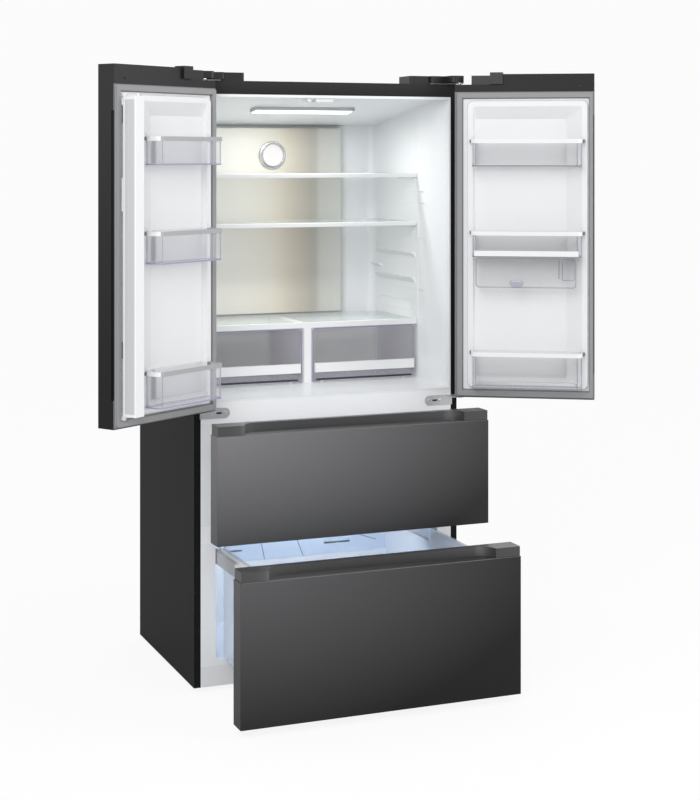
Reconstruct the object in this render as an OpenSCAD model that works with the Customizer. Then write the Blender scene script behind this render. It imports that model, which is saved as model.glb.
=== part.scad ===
// Fridge freezer with two side-hinged doors above and two pull-out freezer drawers below.
// Millimetres. The origin is on the floor under the centre of the cabinet, +Z is up,
// and the doors and drawers are on the -Y side. Inside the modules, y = 0 is the front
// plane of the cabinet and z = 0 is its underside; on_floor() then sets it on the floor.

/* [Cabinet] */
// Width of the cabinet
case_w = 833; // [810:1:860]
// Height of the cabinet without the feet
case_h = 1744; // [1730:1:1780]
// Depth of the cabinet without doors
case_d = 594; // [585:1:640]
// Thickness of the steel sheet
sheet_t = 1; // [0.8:0.1:1.5]
// Width of the folded front edge at each side
flange_w = 20; // [16:1:24]
// Height of the dark strip above the fridge opening
strip_h = 39; // [32:1:46]
// Height of the underside above the floor
floor_gap = 13; // [10:1:18]
// Thickness of the base plate
base_t = 2; // [1.5:0.5:3]

/* [Front openings] */
// Height of the plinth
plinth_h = 58; // [50:1:66]
// Height of the lower freezer opening
lower_open_h = 354; // [340:1:370]
// Height of the bar between the freezer openings
bar_h = 49; // [44:1:56]
// Height of the upper freezer opening
upper_open_h = 296; // [285:1:310]
// Height of the rail between freezer and fridge
rail_h = 59; // [54:1:66]
// Depth of the bar between the freezer openings
bar_d = 40; // [30:1:50]

/* [Liners] */
// Thickness of the moulded liners
liner_t = 2.5; // [2:0.5:3.5]
// Insulation beside the fridge
fridge_wall = 48.5; // [46:0.5:54]
// Insulation beside the fridge opening
mouth_wall = 24.5; // [22:0.5:28]
// Depth of the flared front of the fridge
flare_d = 183; // [170:1:195]
// Insulation behind the fridge
fridge_back = 54; // [50:1:60]
// Rise of the fridge floor behind the flare
floor_rise = 10; // [6:1:12]
// Height of the lip round the fridge opening at its bottom
lip_low = 6; // [4:1:8]
// Height of the lip round the fridge opening at its top
lip_top = 8; // [6:1:10]
// Fall of the fridge ceiling towards the back
ceiling_fall = 72; // [60:1:80]
// Insulation beside the freezer
freezer_wall = 64.5; // [62:0.5:70]
// Height of the sill under the lower freezer opening
freezer_sill = 14; // [12:1:18]
// Depth of the freezer in front of the machine space
freezer_d = 392; // [388:1:396]
// Depth of the freezer behind the air cover
freezer_back_d = 490; // [485:1:500]
// Height of the step over the machine space
hump_z = 250; // [240:1:260]

/* [Shelves and crispers] */
// Top of the upper shelf below the front of the ceiling
shelf_high = 226; // [215:1:245]
// Top of the lower shelf below the upper shelf
shelf_mid = 151; // [140:1:170]
// Top of the crisper cover above the fridge floor
cover_high = 183; // [175:1:195]
// Thickness of the shelf glass
glass_t = 4; // [3:0.5:5]
// Height of the front trim of a shelf
trim_h = 12; // [10:1:16]
// Depth of a shelf
shelf_d = 317; // [300:1:318]
// Gap behind a shelf
shelf_back = 40; // [36:1:44]
// Clearance at each side of a shelf
shelf_side = 2; // [1:0.5:4]
// Width of the upright between the crispers
divider_w = 30; // [24:1:36]
// Wall of a crisper
crisper_t = 2.5; // [2:0.5:3.5]

/* [Doors] */
// Angle of the left door
left_open = 147.5; // [0:0.5:154]
// Angle of the right door
right_open = 149; // [0:0.5:154]
// Thickness of the doors and drawer fronts
door_t = 60; // [56:1:64]
// Distance of the hinge axis from the side of the cabinet
hinge_in = 12; // [11:0.5:14]
// Distance of the hinge axis from the inner face of the door
hinge_back = 36; // [34:1:38]
// Gap between the doors
door_gap = 4; // [3:0.5:6]
// Space for the gasket between cabinet and doors
seal_gap = 12; // [11:0.5:14]
// Height of the doors above the cabinet top
door_rise = 27; // [24:1:30]
// How far the doors cover the middle rail
door_drop = 13; // [11:1:15]
// Radius of the hinge pins
pin_r = 5; // [4:0.5:6]
// Running clearance round a pin or shaft
run_clear = 0.05; // [0.03:0.01:0.08]

/* [Door bins] */
// Height of the rim band of a bin
rim_h = 12; // [9:1:14]
// Wall of a bin
bin_t = 2.5; // [2:0.5:3.5]
// Depth of the moulded rim of the door liner
dyke_d = 18; // [16:1:22]
// Width of the moulded rim of the door liner
dyke_w = 15; // [13:1:18]
// Slope of the liner inside its rim at the free edge of the door
slope_side = 46; // [30:1:50]
// Slope of the liner inside its rim at the top of the door
slope_top = 38; // [24:1:44]
// Depth of a bin in front of the moulded rim
bin_d = 58; // [50:1:60]
// Space above the top bin of the left door
left_top_space = 118; // [110:1:126]
// Height of the top bin of the left door
left_top_h = 74; // [68:1:80]
// Space between the top and the middle bin of the left door
left_mid_space = 180; // [170:1:190]
// Height of the middle bin of the left door
left_mid_h = 85; // [78:1:92]
// Bottom bin of the left door above the fridge floor
left_low = 23; // [16:1:30]
// Height of the bottom bin of the left door
left_low_h = 96; // [88:1:104]
// Space above the top bin of the right door
right_top_space = 121; // [112:1:130]
// Height of the top bin of the right door
right_top_h = 78; // [72:1:84]
// Space between the top and the middle bin of the right door
right_mid_space = 194; // [184:1:200]
// Height of the middle bin of the right door
right_mid_h = 73; // [66:1:80]
// Bottom bin of the right door above the fridge floor
right_low = 11; // [6:1:18]
// Height of the bottom bin of the right door
right_low_h = 104; // [96:1:112]
// Height of the clear box under the middle bin of the right door
box_h = 90; // [80:1:96]

/* [Mullion] */
// Width of the flip mullion
mullion_w = 46; // [42:1:50]
// Thickness of the flip mullion
mullion_t = 37; // [36:1:40]

/* [Freezer drawers] */
// How far the upper drawer is pulled out
upper_pull = 146.5; // [0:0.5:430]
// How far the lower drawer is pulled out
lower_pull = 350; // [0:0.5:430]
// Height of the grip trim
grip_h = 26; // [22:1:30]
// Depth of the finger recess in the grip trim
grip_d = 40; // [34:1:44]
// Length of the grip trim at each side of the finger recess
grip_side = 124; // [110:1:140]
// Gap between door and upper drawer front
upper_gap = 22; // [19:1:25]
// Height of the upper drawer front with its trim
upper_front_h = 329.5; // [325:0.5:332]
// Gap between the drawer fronts
lower_gap = 25; // [22:1:28]
// Height of the lower drawer front above the cabinet underside
lower_front_z = 10; // [6:1:14]
// Length of a runner
runner_l = 370; // [350:1:375]
// Height of the outer runner
runner_h = 42; // [38:1:46]
// Sliding clearance between the runner members
slide_clear = 0.5; // [0.4:0.1:0.7]

/* [Hidden] */
$fn = 48;

// Cabinet
hw = case_w / 2;
in_w = hw - sheet_t;
mouth_w = hw - flange_w;
low_z0 = plinth_h;
low_z1 = low_z0 + lower_open_h;
up_z0 = low_z1 + bar_h;
up_z1 = up_z0 + upper_open_h;
fridge_z0 = up_z1 + rail_h;
fridge_z1 = case_h - strip_h;

// Fridge space
open_w = hw - mouth_wall;
wall_w = hw - fridge_wall;
back_y = case_d - fridge_back;
sill_z = fridge_z0 + lip_low;
floor_z = sill_z + floor_rise;
head_z = fridge_z1 - lip_top;
flat_y = 60;
fridge_corner_r = 26;

// Freezer space
frz_w = hw - freezer_wall;
frz_floor = low_z0 + freezer_sill;
frz_top = up_z1 - 12;
frz_corner_r = 26;
cover_y = freezer_d + 8;
cover_t = 4;
hump_rise = 14;

// Machine space
machine_y = freezer_d + 38;
machine_z = hump_z - 32;

// Hinge axes and doors, measured from the hinge axis towards the free edge (x),
// towards the cabinet (y) and up from the cabinet underside (z)
hinge_x = hw - hinge_in;
hinge_y = seal_gap + hinge_back;
door_l = hinge_x - door_gap / 2;
face_y = hinge_back - door_t;
door_z0 = fridge_z0 - door_drop;
door_z1 = case_h + door_rise;
frame_t = 2;
cap_h = 53;
notch_z = case_h - 4;
notch_x1 = 96;
frame_z0 = door_z0 + 2;
frame_z1 = door_z1 - cap_h;
gasket_w = 17;
gasket_h = seal_gap - 1;
gasket_x0 = -5;
gasket_x1 = door_l - 2.5;
seal_x0 = gasket_x0 + gasket_w + 2;
seal_x1 = gasket_x1 - gasket_w + 4;
seal_z0 = fridge_z0 + 13;
seal_z1 = fridge_z1 - 8;
gasket_z0 = seal_z0 - 21;
gasket_z1 = seal_z1 + 19;
dyke_x0 = 29;
dyke_y1 = hinge_back + dyke_d;
dyke_r = 16;
dyke_z0 = seal_z0 + 8;
dyke_z1 = seal_z1 - 8;
right_dyke_x1 = door_l - 20.5;
left_dyke_x1 = door_l - 78.5;
recess_x0 = dyke_x0 + dyke_w;
recess_z0 = dyke_z0 + dyke_w;
slope_low = 4;
bin_x0 = recess_x0 + 1;
left_bin_x1 = left_dyke_x1 - dyke_w - 1;
right_bin_x1 = right_dyke_x1 - dyke_w - 1;
bin_y1 = dyke_y1 + bin_d;
rim_t = 3;
clip_l = 10;

// Flip mullion: its pivot on the left door and its section about that pivot
pivot_in = 4;
pivot_x = door_l - 22.5;
pivot_y = hinge_back + seal_gap + pivot_in;
mullion_z0 = sill_z + 16;
mullion_z1 = head_z - 13;
mullion_pin_r = 3;
guide_x = -24;
guide_y = 26;
guide_pin_r = 3;
guide_pin_h = 9;
guide_r = norm([guide_x, guide_y]);
guide_slot = 3;
guide_w = guide_r + 4.5;
bracket_w = 3;
guide_y0 = pivot_y + bracket_w - hinge_y + 1;
guide_z0 = mullion_z1 + 2.5;

// Top hinges
hinge_t = 3;
cover_h = 24;
nose_w = 32;
nose_l = 14;

// Freezer drawers
front_w = case_w - 1;
front_y = seal_gap + door_t;
upper_top = door_z0 - upper_gap;
upper_z0 = upper_top - upper_front_h;
lower_top = upper_z0 - lower_gap;
reveal = 3;
grip_x = front_w / 2 - grip_side;
runner_t = 1.5;
runner_w = 10;
runner_y = 8;
upper_runner_z = frz_top - frz_corner_r - runner_h / 2 - 1;
lower_runner_z = low_z1 - 42;
plate_t = 3;
mid_h = runner_h - 2 * (runner_t + slide_clear);
inner_h = mid_h - 2 * (runner_t + slide_clear);
mid_x1 = frz_w - runner_t - slide_clear;
inner_x1 = mid_x1 - runner_t - slide_clear;
plate_x1 = frz_w - runner_w - 6;
basket_x1 = plate_x1 - plate_t - 4;
basket_y1 = runner_y + runner_l - 10;
basket_t = 2.5;
basket_lip = 3;
drawer_seal_w = 16;
drawer_seal_x = mouth_w - 4;

// Shelves and crispers
shelf_y = back_y - shelf_back - shelf_d;
shelf_high_z = head_z - shelf_high;
shelf_mid_z = shelf_high_z - shelf_mid;
cover_z = floor_z + cover_high;
shelf_w = wall_w - shelf_side;
trim_d = 14;
crisper_y = shelf_y + 3;
crisper_x0 = divider_w / 2 + 2;
crisper_x1 = wall_w - 8;
crisper_z0 = floor_z + 6;
crisper_z1 = cover_z - 24;
crisper_l = shelf_d - 13;
crisper_gap = 0.5;
crisper_r = 14;
rib_w = 12;

// Fan
fan_z = 610;
fan_r = 56;
fan_open_r = 60;
shaft_r = 2.5;
motor_y = cover_y + 34;

// Compressor, in the middle of the machine space from front to back
machine_mid = (machine_y + case_d - sheet_t) / 2;
pot_r = 0.38 * (case_d - sheet_t - machine_y);
pot = [
    [0, 0], [0.84, 0], [0.935, 8], [0.968, 70], [1, 74], [1, 80], [0.968, 84],
    [0.903, 112], [0.71, 132], [0.387, 142], [0, 145]
];

// Rollers and feet
roller_r = 20;
roller_w = 18;
roller_x = 340;
roller_y = case_d - 62;
roller_z = roller_r - floor_gap;
axle_r = 4;
foot_x = 365;
foot_y = 62;
foot_r = 18;
foot_pad = 8;
stem_r = 5;

// Placing
module on_floor() translate([0, -case_d / 2, floor_gap]) children();
module both_sides() {
    children();
    mirror([1, 0, 0]) children();
}
module door_place(angle) on_floor()
    translate([-hinge_x, -hinge_y, 0]) rotate([0, 0, -angle]) children();
module left_door_place() door_place(left_open) children();
module right_door_place() mirror([1, 0, 0]) door_place(right_open) children();
module upper_place(part = 1) on_floor() translate([0, -upper_pull * part, 0]) children();
module lower_place(part = 1) on_floor() translate([0, -lower_pull * part, 0]) children();

// Box from one corner to the other
module box(x0, x1, y0, y1, z0, z1)
    translate([x0, y0, z0]) cube([x1 - x0, y1 - y0, z1 - z0]);

// Rectangle with round corners
module round_rect(x0, x1, y0, y1, r) {
    translate([x0 + r, y0]) square([x1 - x0 - 2 * r, y1 - y0]);
    translate([x0, y0 + r]) square([x1 - x0, y1 - y0 - 2 * r]);
    for (x = [x0 + r, x1 - r], y = [y0 + r, y1 - r]) translate([x, y]) circle(r);
}

// Outline in y and z, drawn out along x
module along_x(x0, x1) translate([x0, 0, 0]) rotate([90, 0, 90]) linear_extrude(x1 - x0) children();
// Outline in x and z, drawn out along y
module along_y(y0, y1) translate([0, y1, 0]) rotate([90, 0, 0]) linear_extrude(y1 - y0) children();
// Outline in x and y, drawn out along z
module along_z(z0, z1) translate([0, 0, z0]) linear_extrude(z1 - z0) children();

// Height of the fridge ceiling at a depth
function ceiling(y) = head_z - ceiling_fall * max(0, y - flat_y) / (back_y - flat_y);

// Space of the fridge, grown by g on all sides
module fridge_space(g, y0) intersection() {
    along_z(fridge_z0 - 60, case_h) {
        polygon([
            [-open_w - g, y0], [open_w + g, y0], [open_w + g, 20], [wall_w + g, flare_d],
            [wall_w + g, back_y - fridge_corner_r], [-wall_w - g, back_y - fridge_corner_r],
            [-wall_w - g, flare_d], [-open_w - g, 20]
        ]);
        round_rect(-wall_w - g, wall_w + g, flare_d, back_y + g, fridge_corner_r + g);
    }
    along_x(-hw, hw) polygon([
        [y0, sill_z - g], [30, sill_z - g], [flare_d, floor_z - g], [back_y + g, floor_z - g],
        [back_y + g, ceiling(back_y) + g], [flat_y, head_z + g], [y0, head_z + g]
    ]);
}

// Space of the freezer, grown by g on all sides
module freezer_space(g, y0) intersection() {
    along_y(y0, case_d) round_rect(-frz_w - g, frz_w + g, frz_floor - g, frz_top + g, frz_corner_r + g);
    along_x(-hw, hw) polygon([
        [y0, 0], [freezer_d + g, 0], [freezer_d + g, hump_z - g], [freezer_back_d + g, hump_z + hump_rise - g],
        [freezer_back_d + g, case_h], [y0, case_h]
    ]);
}

// Space of the compressor at the back, open to the rear
module machine_space() along_x(-in_w, in_w) polygon([
    [machine_y, base_t], [case_d + 1, base_t], [case_d + 1, hump_z - 4],
    [machine_y + 62, hump_z - 4], [machine_y, machine_z - 34]
]);

// Ledge on a side wall, with a sloping underside; it reaches past the wall and is cut to it
module wall_ledge(z, y0, y1, w, h) along_y(y0, y1)
    polygon([[-hw, z], [-wall_w + w, z], [-wall_w + w, z - 3], [-wall_w, z - h], [-hw, z - h]]);

// Fixed parts of the cabinet

module outer_case() color("#2f2f30") on_floor() difference() {
    box(-hw, hw, 0, case_d, 0, case_h);
    box(-in_w, in_w, sheet_t, case_d + 1, -1, case_h - sheet_t);
    box(-mouth_w, mouth_w, -1, 2, -1, fridge_z1);
}

module roller_cheeks() for (s = [-1, 1]) translate([roller_x + s * (roller_w / 2 + 3), 0, 0]) difference() {
    box(-1.5, 1.5, roller_y - 16, roller_y + 16, base_t, roller_z + axle_r + 10);
    translate([-2, roller_y, roller_z]) rotate([0, 90, 0]) cylinder(r = axle_r + run_clear, h = 4);
}

module base_plate() color("#8d9093") on_floor() {
    difference() {
        box(-in_w, in_w, sheet_t, case_d - sheet_t, 0, base_t);
        both_sides() {
            box(roller_x - roller_w / 2 - 1, roller_x + roller_w / 2 + 1,
                roller_y - roller_r - 3, roller_y + roller_r + 3, -1, base_t + 1);
            translate([foot_x, foot_y, -1]) cylinder(r = stem_r, h = base_t + 2);
        }
        box(-mouth_w, mouth_w, 0, liner_t, -1, base_t + 1);
    }
    both_sides() roller_cheeks();
}

module insulation() color("#e8e0c4") on_floor() difference() {
    box(-in_w, in_w, sheet_t, case_d - sheet_t, base_t, case_h - sheet_t);
    box(-mouth_w, mouth_w, 0, liner_t, 0, fridge_z1);
    box(-frz_w, frz_w, 0, bar_d, low_z1, up_z0);
    fridge_space(liner_t, 0);
    freezer_space(liner_t, 0);
    machine_space();
    both_sides() translate([foot_x, foot_y, base_t]) cylinder(r = stem_r + 3, h = 14);
}

module rear_panel() color("#9a9da0") on_floor() {
    box(-in_w, in_w, case_d - sheet_t, case_d, hump_z - 4, case_h - sheet_t);
}

module machine_cover() color("#3a3b3c") on_floor() difference() {
    box(-in_w, in_w, case_d - sheet_t, case_d, base_t, hump_z - 4);
    for (x = [-330:60:330], z = [60:26:190])
        box(x - 22, x + 22, case_d - 3, case_d + 1, z - 4, z + 4);
}

module compressor() color("#202122") on_floor() translate([-170, machine_mid, base_t]) {
    for (x = [-52, 52], s = [-1, 1]) translate([x, s * (pot_r - 18), 0]) cylinder(r = 9, h = 10);
    box(-66, 66, 6 - pot_r, pot_r - 6, 10, 13);
    translate([0, 0, 13]) rotate_extrude() polygon([for (p = pot) [p[0] * pot_r, p[1]]]);
    translate([pot_r - 4, 0, 70]) rotate([0, 90, 0]) cylinder(r = 4, h = 26);
    box(-20, 20, -pot_r - 4, 6 - pot_r, 60, 110);
}

// Finned tube block: tubes run along x through a row of fins
module finned_block(x0, x1, y0, y1, z0, z1, fins, rows, foot_y1) {
    pitch = (x1 - x0) / (fins - 1);
    row = (z1 - z0) / rows;
    for (i = [0:fins - 1]) {
        y2 = (i == 0 || i == fins - 1) ? foot_y1 : y1;
        box(x0 + i * pitch - 0.5, x0 + i * pitch + 0.5, y0, y2, z0, z1);
    }
    for (j = [0:rows - 1], y = [y0 + (y1 - y0) / 4, y1 - (y1 - y0) / 4])
        translate([x0 - 8, y, z0 + (j + 0.5) * row]) rotate([0, 90, 0]) cylinder(r = 4, h = x1 - x0 + 16);
}

module condenser() color("#2a2b2c") on_floor()
    finned_block(20, 290, machine_y + 36, case_d - 48, base_t, 140, 14, 4, case_d - 48);

module front_rails() color("#d4d6d9") on_floor() {
    box(-mouth_w, mouth_w, 0, liner_t, up_z1, fridge_z0);
    box(-mouth_w, mouth_w, 0, liner_t, low_z1, up_z0);
    box(-frz_w, frz_w, liner_t, bar_d, low_z1, up_z0);
}

module plinth() color("#c0c2c5") on_floor() box(-mouth_w, mouth_w, 0, liner_t, 0, plinth_h);

// Height of a spare shelf ledge, between the crisper cover and the lower shelf
function spare_z(share) = cover_z + share * (shelf_mid_z - cover_z);

module fridge_liner() color("#f4f7fb") on_floor() {
    difference() {
        union() {
            box(-mouth_w, mouth_w, 0, liner_t, fridge_z0, fridge_z1);
            fridge_space(liner_t, 0);
        }
        fridge_space(0, -1);
    }
    intersection() {
        fridge_space(liner_t / 2, 0);
        both_sides() {
            for (z = [shelf_high_z, shelf_mid_z]) {
                wall_ledge(z - glass_t, shelf_y + 24, shelf_y + 151, rib_w, 14);
                wall_ledge(z - glass_t, shelf_y + shelf_d - 90, shelf_y + shelf_d - 10, rib_w, 14);
            }
            wall_ledge(spare_z(0.685), shelf_y + 17, shelf_y + shelf_d, rib_w, 16);
            wall_ledge(spare_z(0.521), shelf_y + shelf_d - 37, back_y - 10, rib_w, 12);
            wall_ledge(spare_z(0.426), shelf_y + 17, shelf_y + shelf_d, rib_w, 18);
            wall_ledge(cover_z - glass_t, shelf_y + 20, shelf_y + shelf_d - 10, rib_w - 6, 10);
        }
    }
    both_sides() for (x = [crisper_x0 + 30, crisper_x1 - 40])
        box(x, x + 8, shelf_y + 10, shelf_y + shelf_d, floor_z - liner_t / 2, crisper_z0 - crisper_gap);
}

module freezer_liner() color("#dbe8f8") on_floor() difference() {
    union() {
        box(-mouth_w, mouth_w, 0, liner_t, low_z0, low_z1);
        box(-mouth_w, mouth_w, 0, liner_t, up_z0, up_z1);
        freezer_space(liner_t, 0);
    }
    freezer_space(0, -1);
    box(-hw, hw, -1, liner_t, low_z1, up_z0);
    both_sides() {
        box(frz_w + 22, frz_w + 24.5, -1, 0.8, low_z0 + 14, low_z1 - 6);
        box(frz_w + 22, frz_w + 24.5, -1, 0.8, up_z0 + 6, up_z1 - 14);
    }
}

duct_w = 247;
duct_y = back_y - 32;
duct_z0 = cover_z + 3;
duct_z1 = ceiling(duct_y) - 14;
module air_duct_panel() color("#cfc8bc") on_floor() {
    along_z(duct_z0, duct_z1) difference() {
        round_rect(-duct_w, duct_w, duct_y, back_y + 20, 12);
        translate([-duct_w - 1, back_y]) square([2 * duct_w + 2, 30]);
    }
}

filter_drop = 88;
filter_z = duct_z1 - filter_drop;
module air_filter() color("#e4e5e8") on_floor() translate([0, duct_y, filter_z]) rotate([90, 0, 0]) {
    rotate_extrude() polygon([[36, 0], [46, 0], [46, 3], [44, 6], [40, 7], [37, 5]]);
    cylinder(r = 34, h = 8);
    cylinder(r = 36, h = 2);
}

lamp_y = 200;
lamp_w = 163;
lamp_l = 50;
module lamp_housing() color("#c9ccd1") on_floor() difference() {
    along_x(-lamp_w, lamp_w) polygon([
        [lamp_y, ceiling(lamp_y)], [lamp_y, ceiling(lamp_y) - 10], [lamp_y + lamp_l, ceiling(lamp_y + lamp_l) - 10],
        [lamp_y + lamp_l, ceiling(lamp_y + lamp_l)]
    ]);
    along_x(-lamp_w + 6, lamp_w - 6) polygon([
        [lamp_y + 5, ceiling(lamp_y) - 30], [lamp_y + 5, ceiling(lamp_y) - 5],
        [lamp_y + lamp_l - 5, ceiling(lamp_y + lamp_l) - 5], [lamp_y + lamp_l - 5, ceiling(lamp_y) - 30]
    ]);
}

module lamp_lens() color("#ffffff") on_floor() along_x(-lamp_w + 6, lamp_w - 6) polygon([
    [lamp_y + 5, ceiling(lamp_y) - 12], [lamp_y + 5, ceiling(lamp_y) - 5],
    [lamp_y + lamp_l - 5, ceiling(lamp_y + lamp_l) - 5], [lamp_y + lamp_l - 5, ceiling(lamp_y + lamp_l) - 12]
]);

// Guide on the ceiling: its groove leads the pin of the mullion in and turns it
module guide_groove(r) {
    px = pivot_x - hinge_x;
    py = pivot_y - hinge_y;
    translate([px, py]) difference() {
        circle(guide_r + r);
        circle(guide_r - r);
        translate([-100, -100]) square([200, 100 + guide_y - 8]);
    }
    for (s = [-1, 1]) translate([px + s * 25, py + 25]) circle(r);
    translate([px + guide_x - r, -20]) square([2 * r + 3, py + guide_y + 20]);
}
module mullion_guide() color("#eef1f5") on_floor() {
    gx = pivot_x - hinge_x;
    difference() {
        along_y(guide_y0, guide_y0 + 46) polygon([
            [gx - guide_w, guide_z0], [gx + guide_w, guide_z0], [gx + guide_w + 3, head_z], [gx - guide_w - 3, head_z]
        ]);
        along_z(guide_z0 - 1, guide_z0 + guide_pin_h - 1) guide_groove(guide_pin_r + guide_slot);
    }
}

module glass_shelves() color("#dff0ee", 0.5) on_floor() {
    for (z = [shelf_high_z, shelf_mid_z, cover_z])
        box(-shelf_w, shelf_w, shelf_y + 6, shelf_y + shelf_d, z - glass_t, z);
}

module shelf_trims() color("#f5f6f8") on_floor() for (z = [shelf_high_z, shelf_mid_z]) difference() {
    along_x(-shelf_w, shelf_w) round_rect(shelf_y, shelf_y + trim_d, z - trim_h, z + 1, 2);
    box(-hw, hw, shelf_y + 6, shelf_y + trim_d + 1, z - glass_t, z);
}

module crisper_frame() color("#f3f4fa") on_floor() {
    z1 = cover_z;
    difference() {
        box(-shelf_w, shelf_w, shelf_y, shelf_y + trim_d, z1 - 16, z1 + 1);
        box(-hw, hw, shelf_y + 6, shelf_y + trim_d + 1, z1 - glass_t, z1);
    }
    box(-divider_w / 2, divider_w / 2, shelf_y + trim_d, shelf_y + shelf_d, z1 - 20, z1 - glass_t);
    difference() {
        box(-divider_w / 2, divider_w / 2, shelf_y, shelf_y + shelf_d, floor_z, z1 - 16);
        for (s = [-1, 1])
            box(s * divider_w / 2 - 4, s * divider_w / 2 + 4, shelf_y + 10, shelf_y + shelf_d - 12,
                floor_z + 14, z1 - 30);
    }
}

// Grille over the freezer fan
module fan_grille() difference() {
    circle(fan_open_r + 1);
    for (r = [14:9:50]) difference() {
        circle(r + 6);
        circle(r);
    }
}

module evaporator_cover() color("#d3e3f8") on_floor() {
    difference() {
        along_y(cover_y, cover_y + cover_t) round_rect(-frz_w, frz_w, frz_floor, frz_top, frz_corner_r);
        box(-hw, hw, 0, case_d, 0, hump_z + hump_rise * (cover_y + cover_t - freezer_d) / (freezer_back_d - freezer_d));
        for (x = [-204, -160, 160, 206])
            box(x - 21, x + 21, cover_y - 1, cover_y + cover_t + 1, hump_z + 32, hump_z + 38);
        translate([0, cover_y + cover_t + 1, fan_z]) rotate([90, 0, 0]) cylinder(r = fan_open_r + 1.5, h = cover_t + 2);
    }
    translate([0, cover_y + cover_t, fan_z]) rotate([90, 0, 0]) linear_extrude(2) {
        fan_grille();
        square([8, 2 * fan_open_r - 2], center = true);
        square([2 * fan_open_r - 2, 8], center = true);
    }
    translate([0, cover_y, fan_z]) rotate([-90, 0, 0]) difference() {
        cylinder(r = fan_open_r + 3, h = cover_t + 35);
        translate([0, 0, -1]) cylinder(r = fan_open_r, h = 50);
    }
    translate([0, motor_y, fan_z]) rotate([-90, 0, 0]) difference() {
        union() {
            cylinder(r = 20, h = 26);
            for (a = [0, 120, 240]) rotate([0, 0, a]) translate([0, -4, 0]) cube([fan_open_r + 1, 8, 4]);
        }
        translate([0, 0, -1]) cylinder(r = shaft_r + run_clear, h = 18);
    }
}

module fan_blades() color("#1c1d1f") on_floor() translate([0, cover_y + 9, fan_z]) rotate([-90, 0, 0]) {
    cylinder(r = 16, h = 20);
    cylinder(r = shaft_r, h = motor_y - cover_y - 9 + 14);
    intersection() {
        for (a = [0:60:300]) rotate([0, 0, a]) translate([12, 0, 10]) rotate([32, 0, 0])
            translate([0, -15, -1]) cube([fan_r, 30, 2]);
        translate([0, 0, -2]) cylinder(r = fan_r, h = 24);
    }
}

module evaporator() color("#b9bec4") on_floor()
    finned_block(-262, 262, cover_y + cover_t + 4, freezer_back_d - 10, hump_z + 40, hump_z + 250, 20, 5, freezer_back_d);

// Runner member: channel open towards the middle of the drawer
module channel(x1, w, h, z) difference() {
    translate([x1 - w, z - h / 2]) square([w, h]);
    translate([x1 - w - 1, z - h / 2 + runner_t]) square([w - runner_t + 1, h - 2 * runner_t]);
}

module fixed_runners() color("#c3c7cc") on_floor() for (z = [lower_runner_z, upper_runner_z])
    both_sides() along_y(runner_y, runner_y + runner_l) channel(frz_w, runner_w, runner_h, z);

module top_hinges() color("#a9abad") on_floor() both_sides() {
    box(hinge_x - 104, hw - 4.5, 10, 80, case_h, case_h + hinge_t);
    along_z(case_h, case_h + hinge_t) {
        translate([hinge_x, -hinge_y]) circle(12);
        polygon([[hinge_x - 24, 12], [hw - 4.5, 12], [hw - 4.5, 0], [hinge_x + 12, -hinge_y],
            [hinge_x - 12, -hinge_y], [hinge_x - 24, -10]]);
    }
    translate([hinge_x, -hinge_y, notch_z - 26]) cylinder(r = pin_r, h = case_h + hinge_t - notch_z + 26);
}

// Cover over the top hinge: a block on the cabinet and a nose over the pin, above the hinge plate
module hinge_covers() color("#28292a") on_floor() both_sides() difference() {
    union() {
        along_z(case_h, case_h + cover_h) round_rect(hinge_x - 141, hw, 2, 92, 6);
        along_z(case_h + hinge_t + 0.5, case_h + cover_h)
            round_rect(hinge_x - nose_w, hw - 1, -hinge_y - nose_l, 20, 12);
        along_z(case_h + hinge_t + 0.5, case_h + cover_h) round_rect(hinge_x - 78, hw - 1, -10, 20, 8);
    }
    box(hinge_x - 106, hw - 3, 8, 84, case_h - 1, case_h + cover_h - 3);
    along_z(case_h - 1, case_h + cover_h - 3)
        round_rect(hinge_x - nose_w + 3, hw - 4, -hinge_y - nose_l + 3, 20, 9);
    along_z(case_h - 1, case_h + cover_h - 3) round_rect(hinge_x - 75, hw - 4, -7, 20, 5);
}

module middle_hinges() color("#b4b6b8") on_floor() both_sides() {
    z1 = door_z0 - 2.5;
    difference() {
        union() {
            along_y(-3, 0) {
                translate([mouth_w - 72, z1 - 15]) circle(15);
                translate([mouth_w - 72, z1 - 30]) square([75, 30]);
            }
            box(hinge_x - 22, hw - 1, -hinge_y, 0, z1 - 3, z1);
            translate([hinge_x, -hinge_y, z1 - 3]) cylinder(r = 12, h = 3);
        }
        for (x = [mouth_w - 73, mouth_w - 36]) translate([x, 1, z1 - 15]) rotate([90, 0, 0]) cylinder(r = 3, h = 5);
    }
    translate([hinge_x, -hinge_y, z1 - 1]) cylinder(r = pin_r, h = 26);
}

module levelling_feet() color("#1d1d1e") on_floor() both_sides() translate([foot_x, foot_y, -floor_gap]) {
    cylinder(r = foot_r, h = foot_pad);
    translate([0, 0, foot_pad]) cylinder(r = stem_r, h = floor_gap - foot_pad + base_t + 8);
}

module rear_rollers() color("#191a1b") on_floor() both_sides()
    translate([roller_x, roller_y, roller_z]) rotate([0, 90, 0]) {
    translate([0, 0, -roller_w / 2]) cylinder(r = roller_r, h = roller_w);
    translate([0, 0, -roller_w / 2 - 7]) cylinder(r = axle_r, h = roller_w + 14);
}

// Crispers

module crisper_box(x0, x1, y0, z0, r) along_y(y0, crisper_y + crisper_l - (y0 - crisper_y))
    round_rect(x0, x1, z0, crisper_z1 + 40, r);

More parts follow.
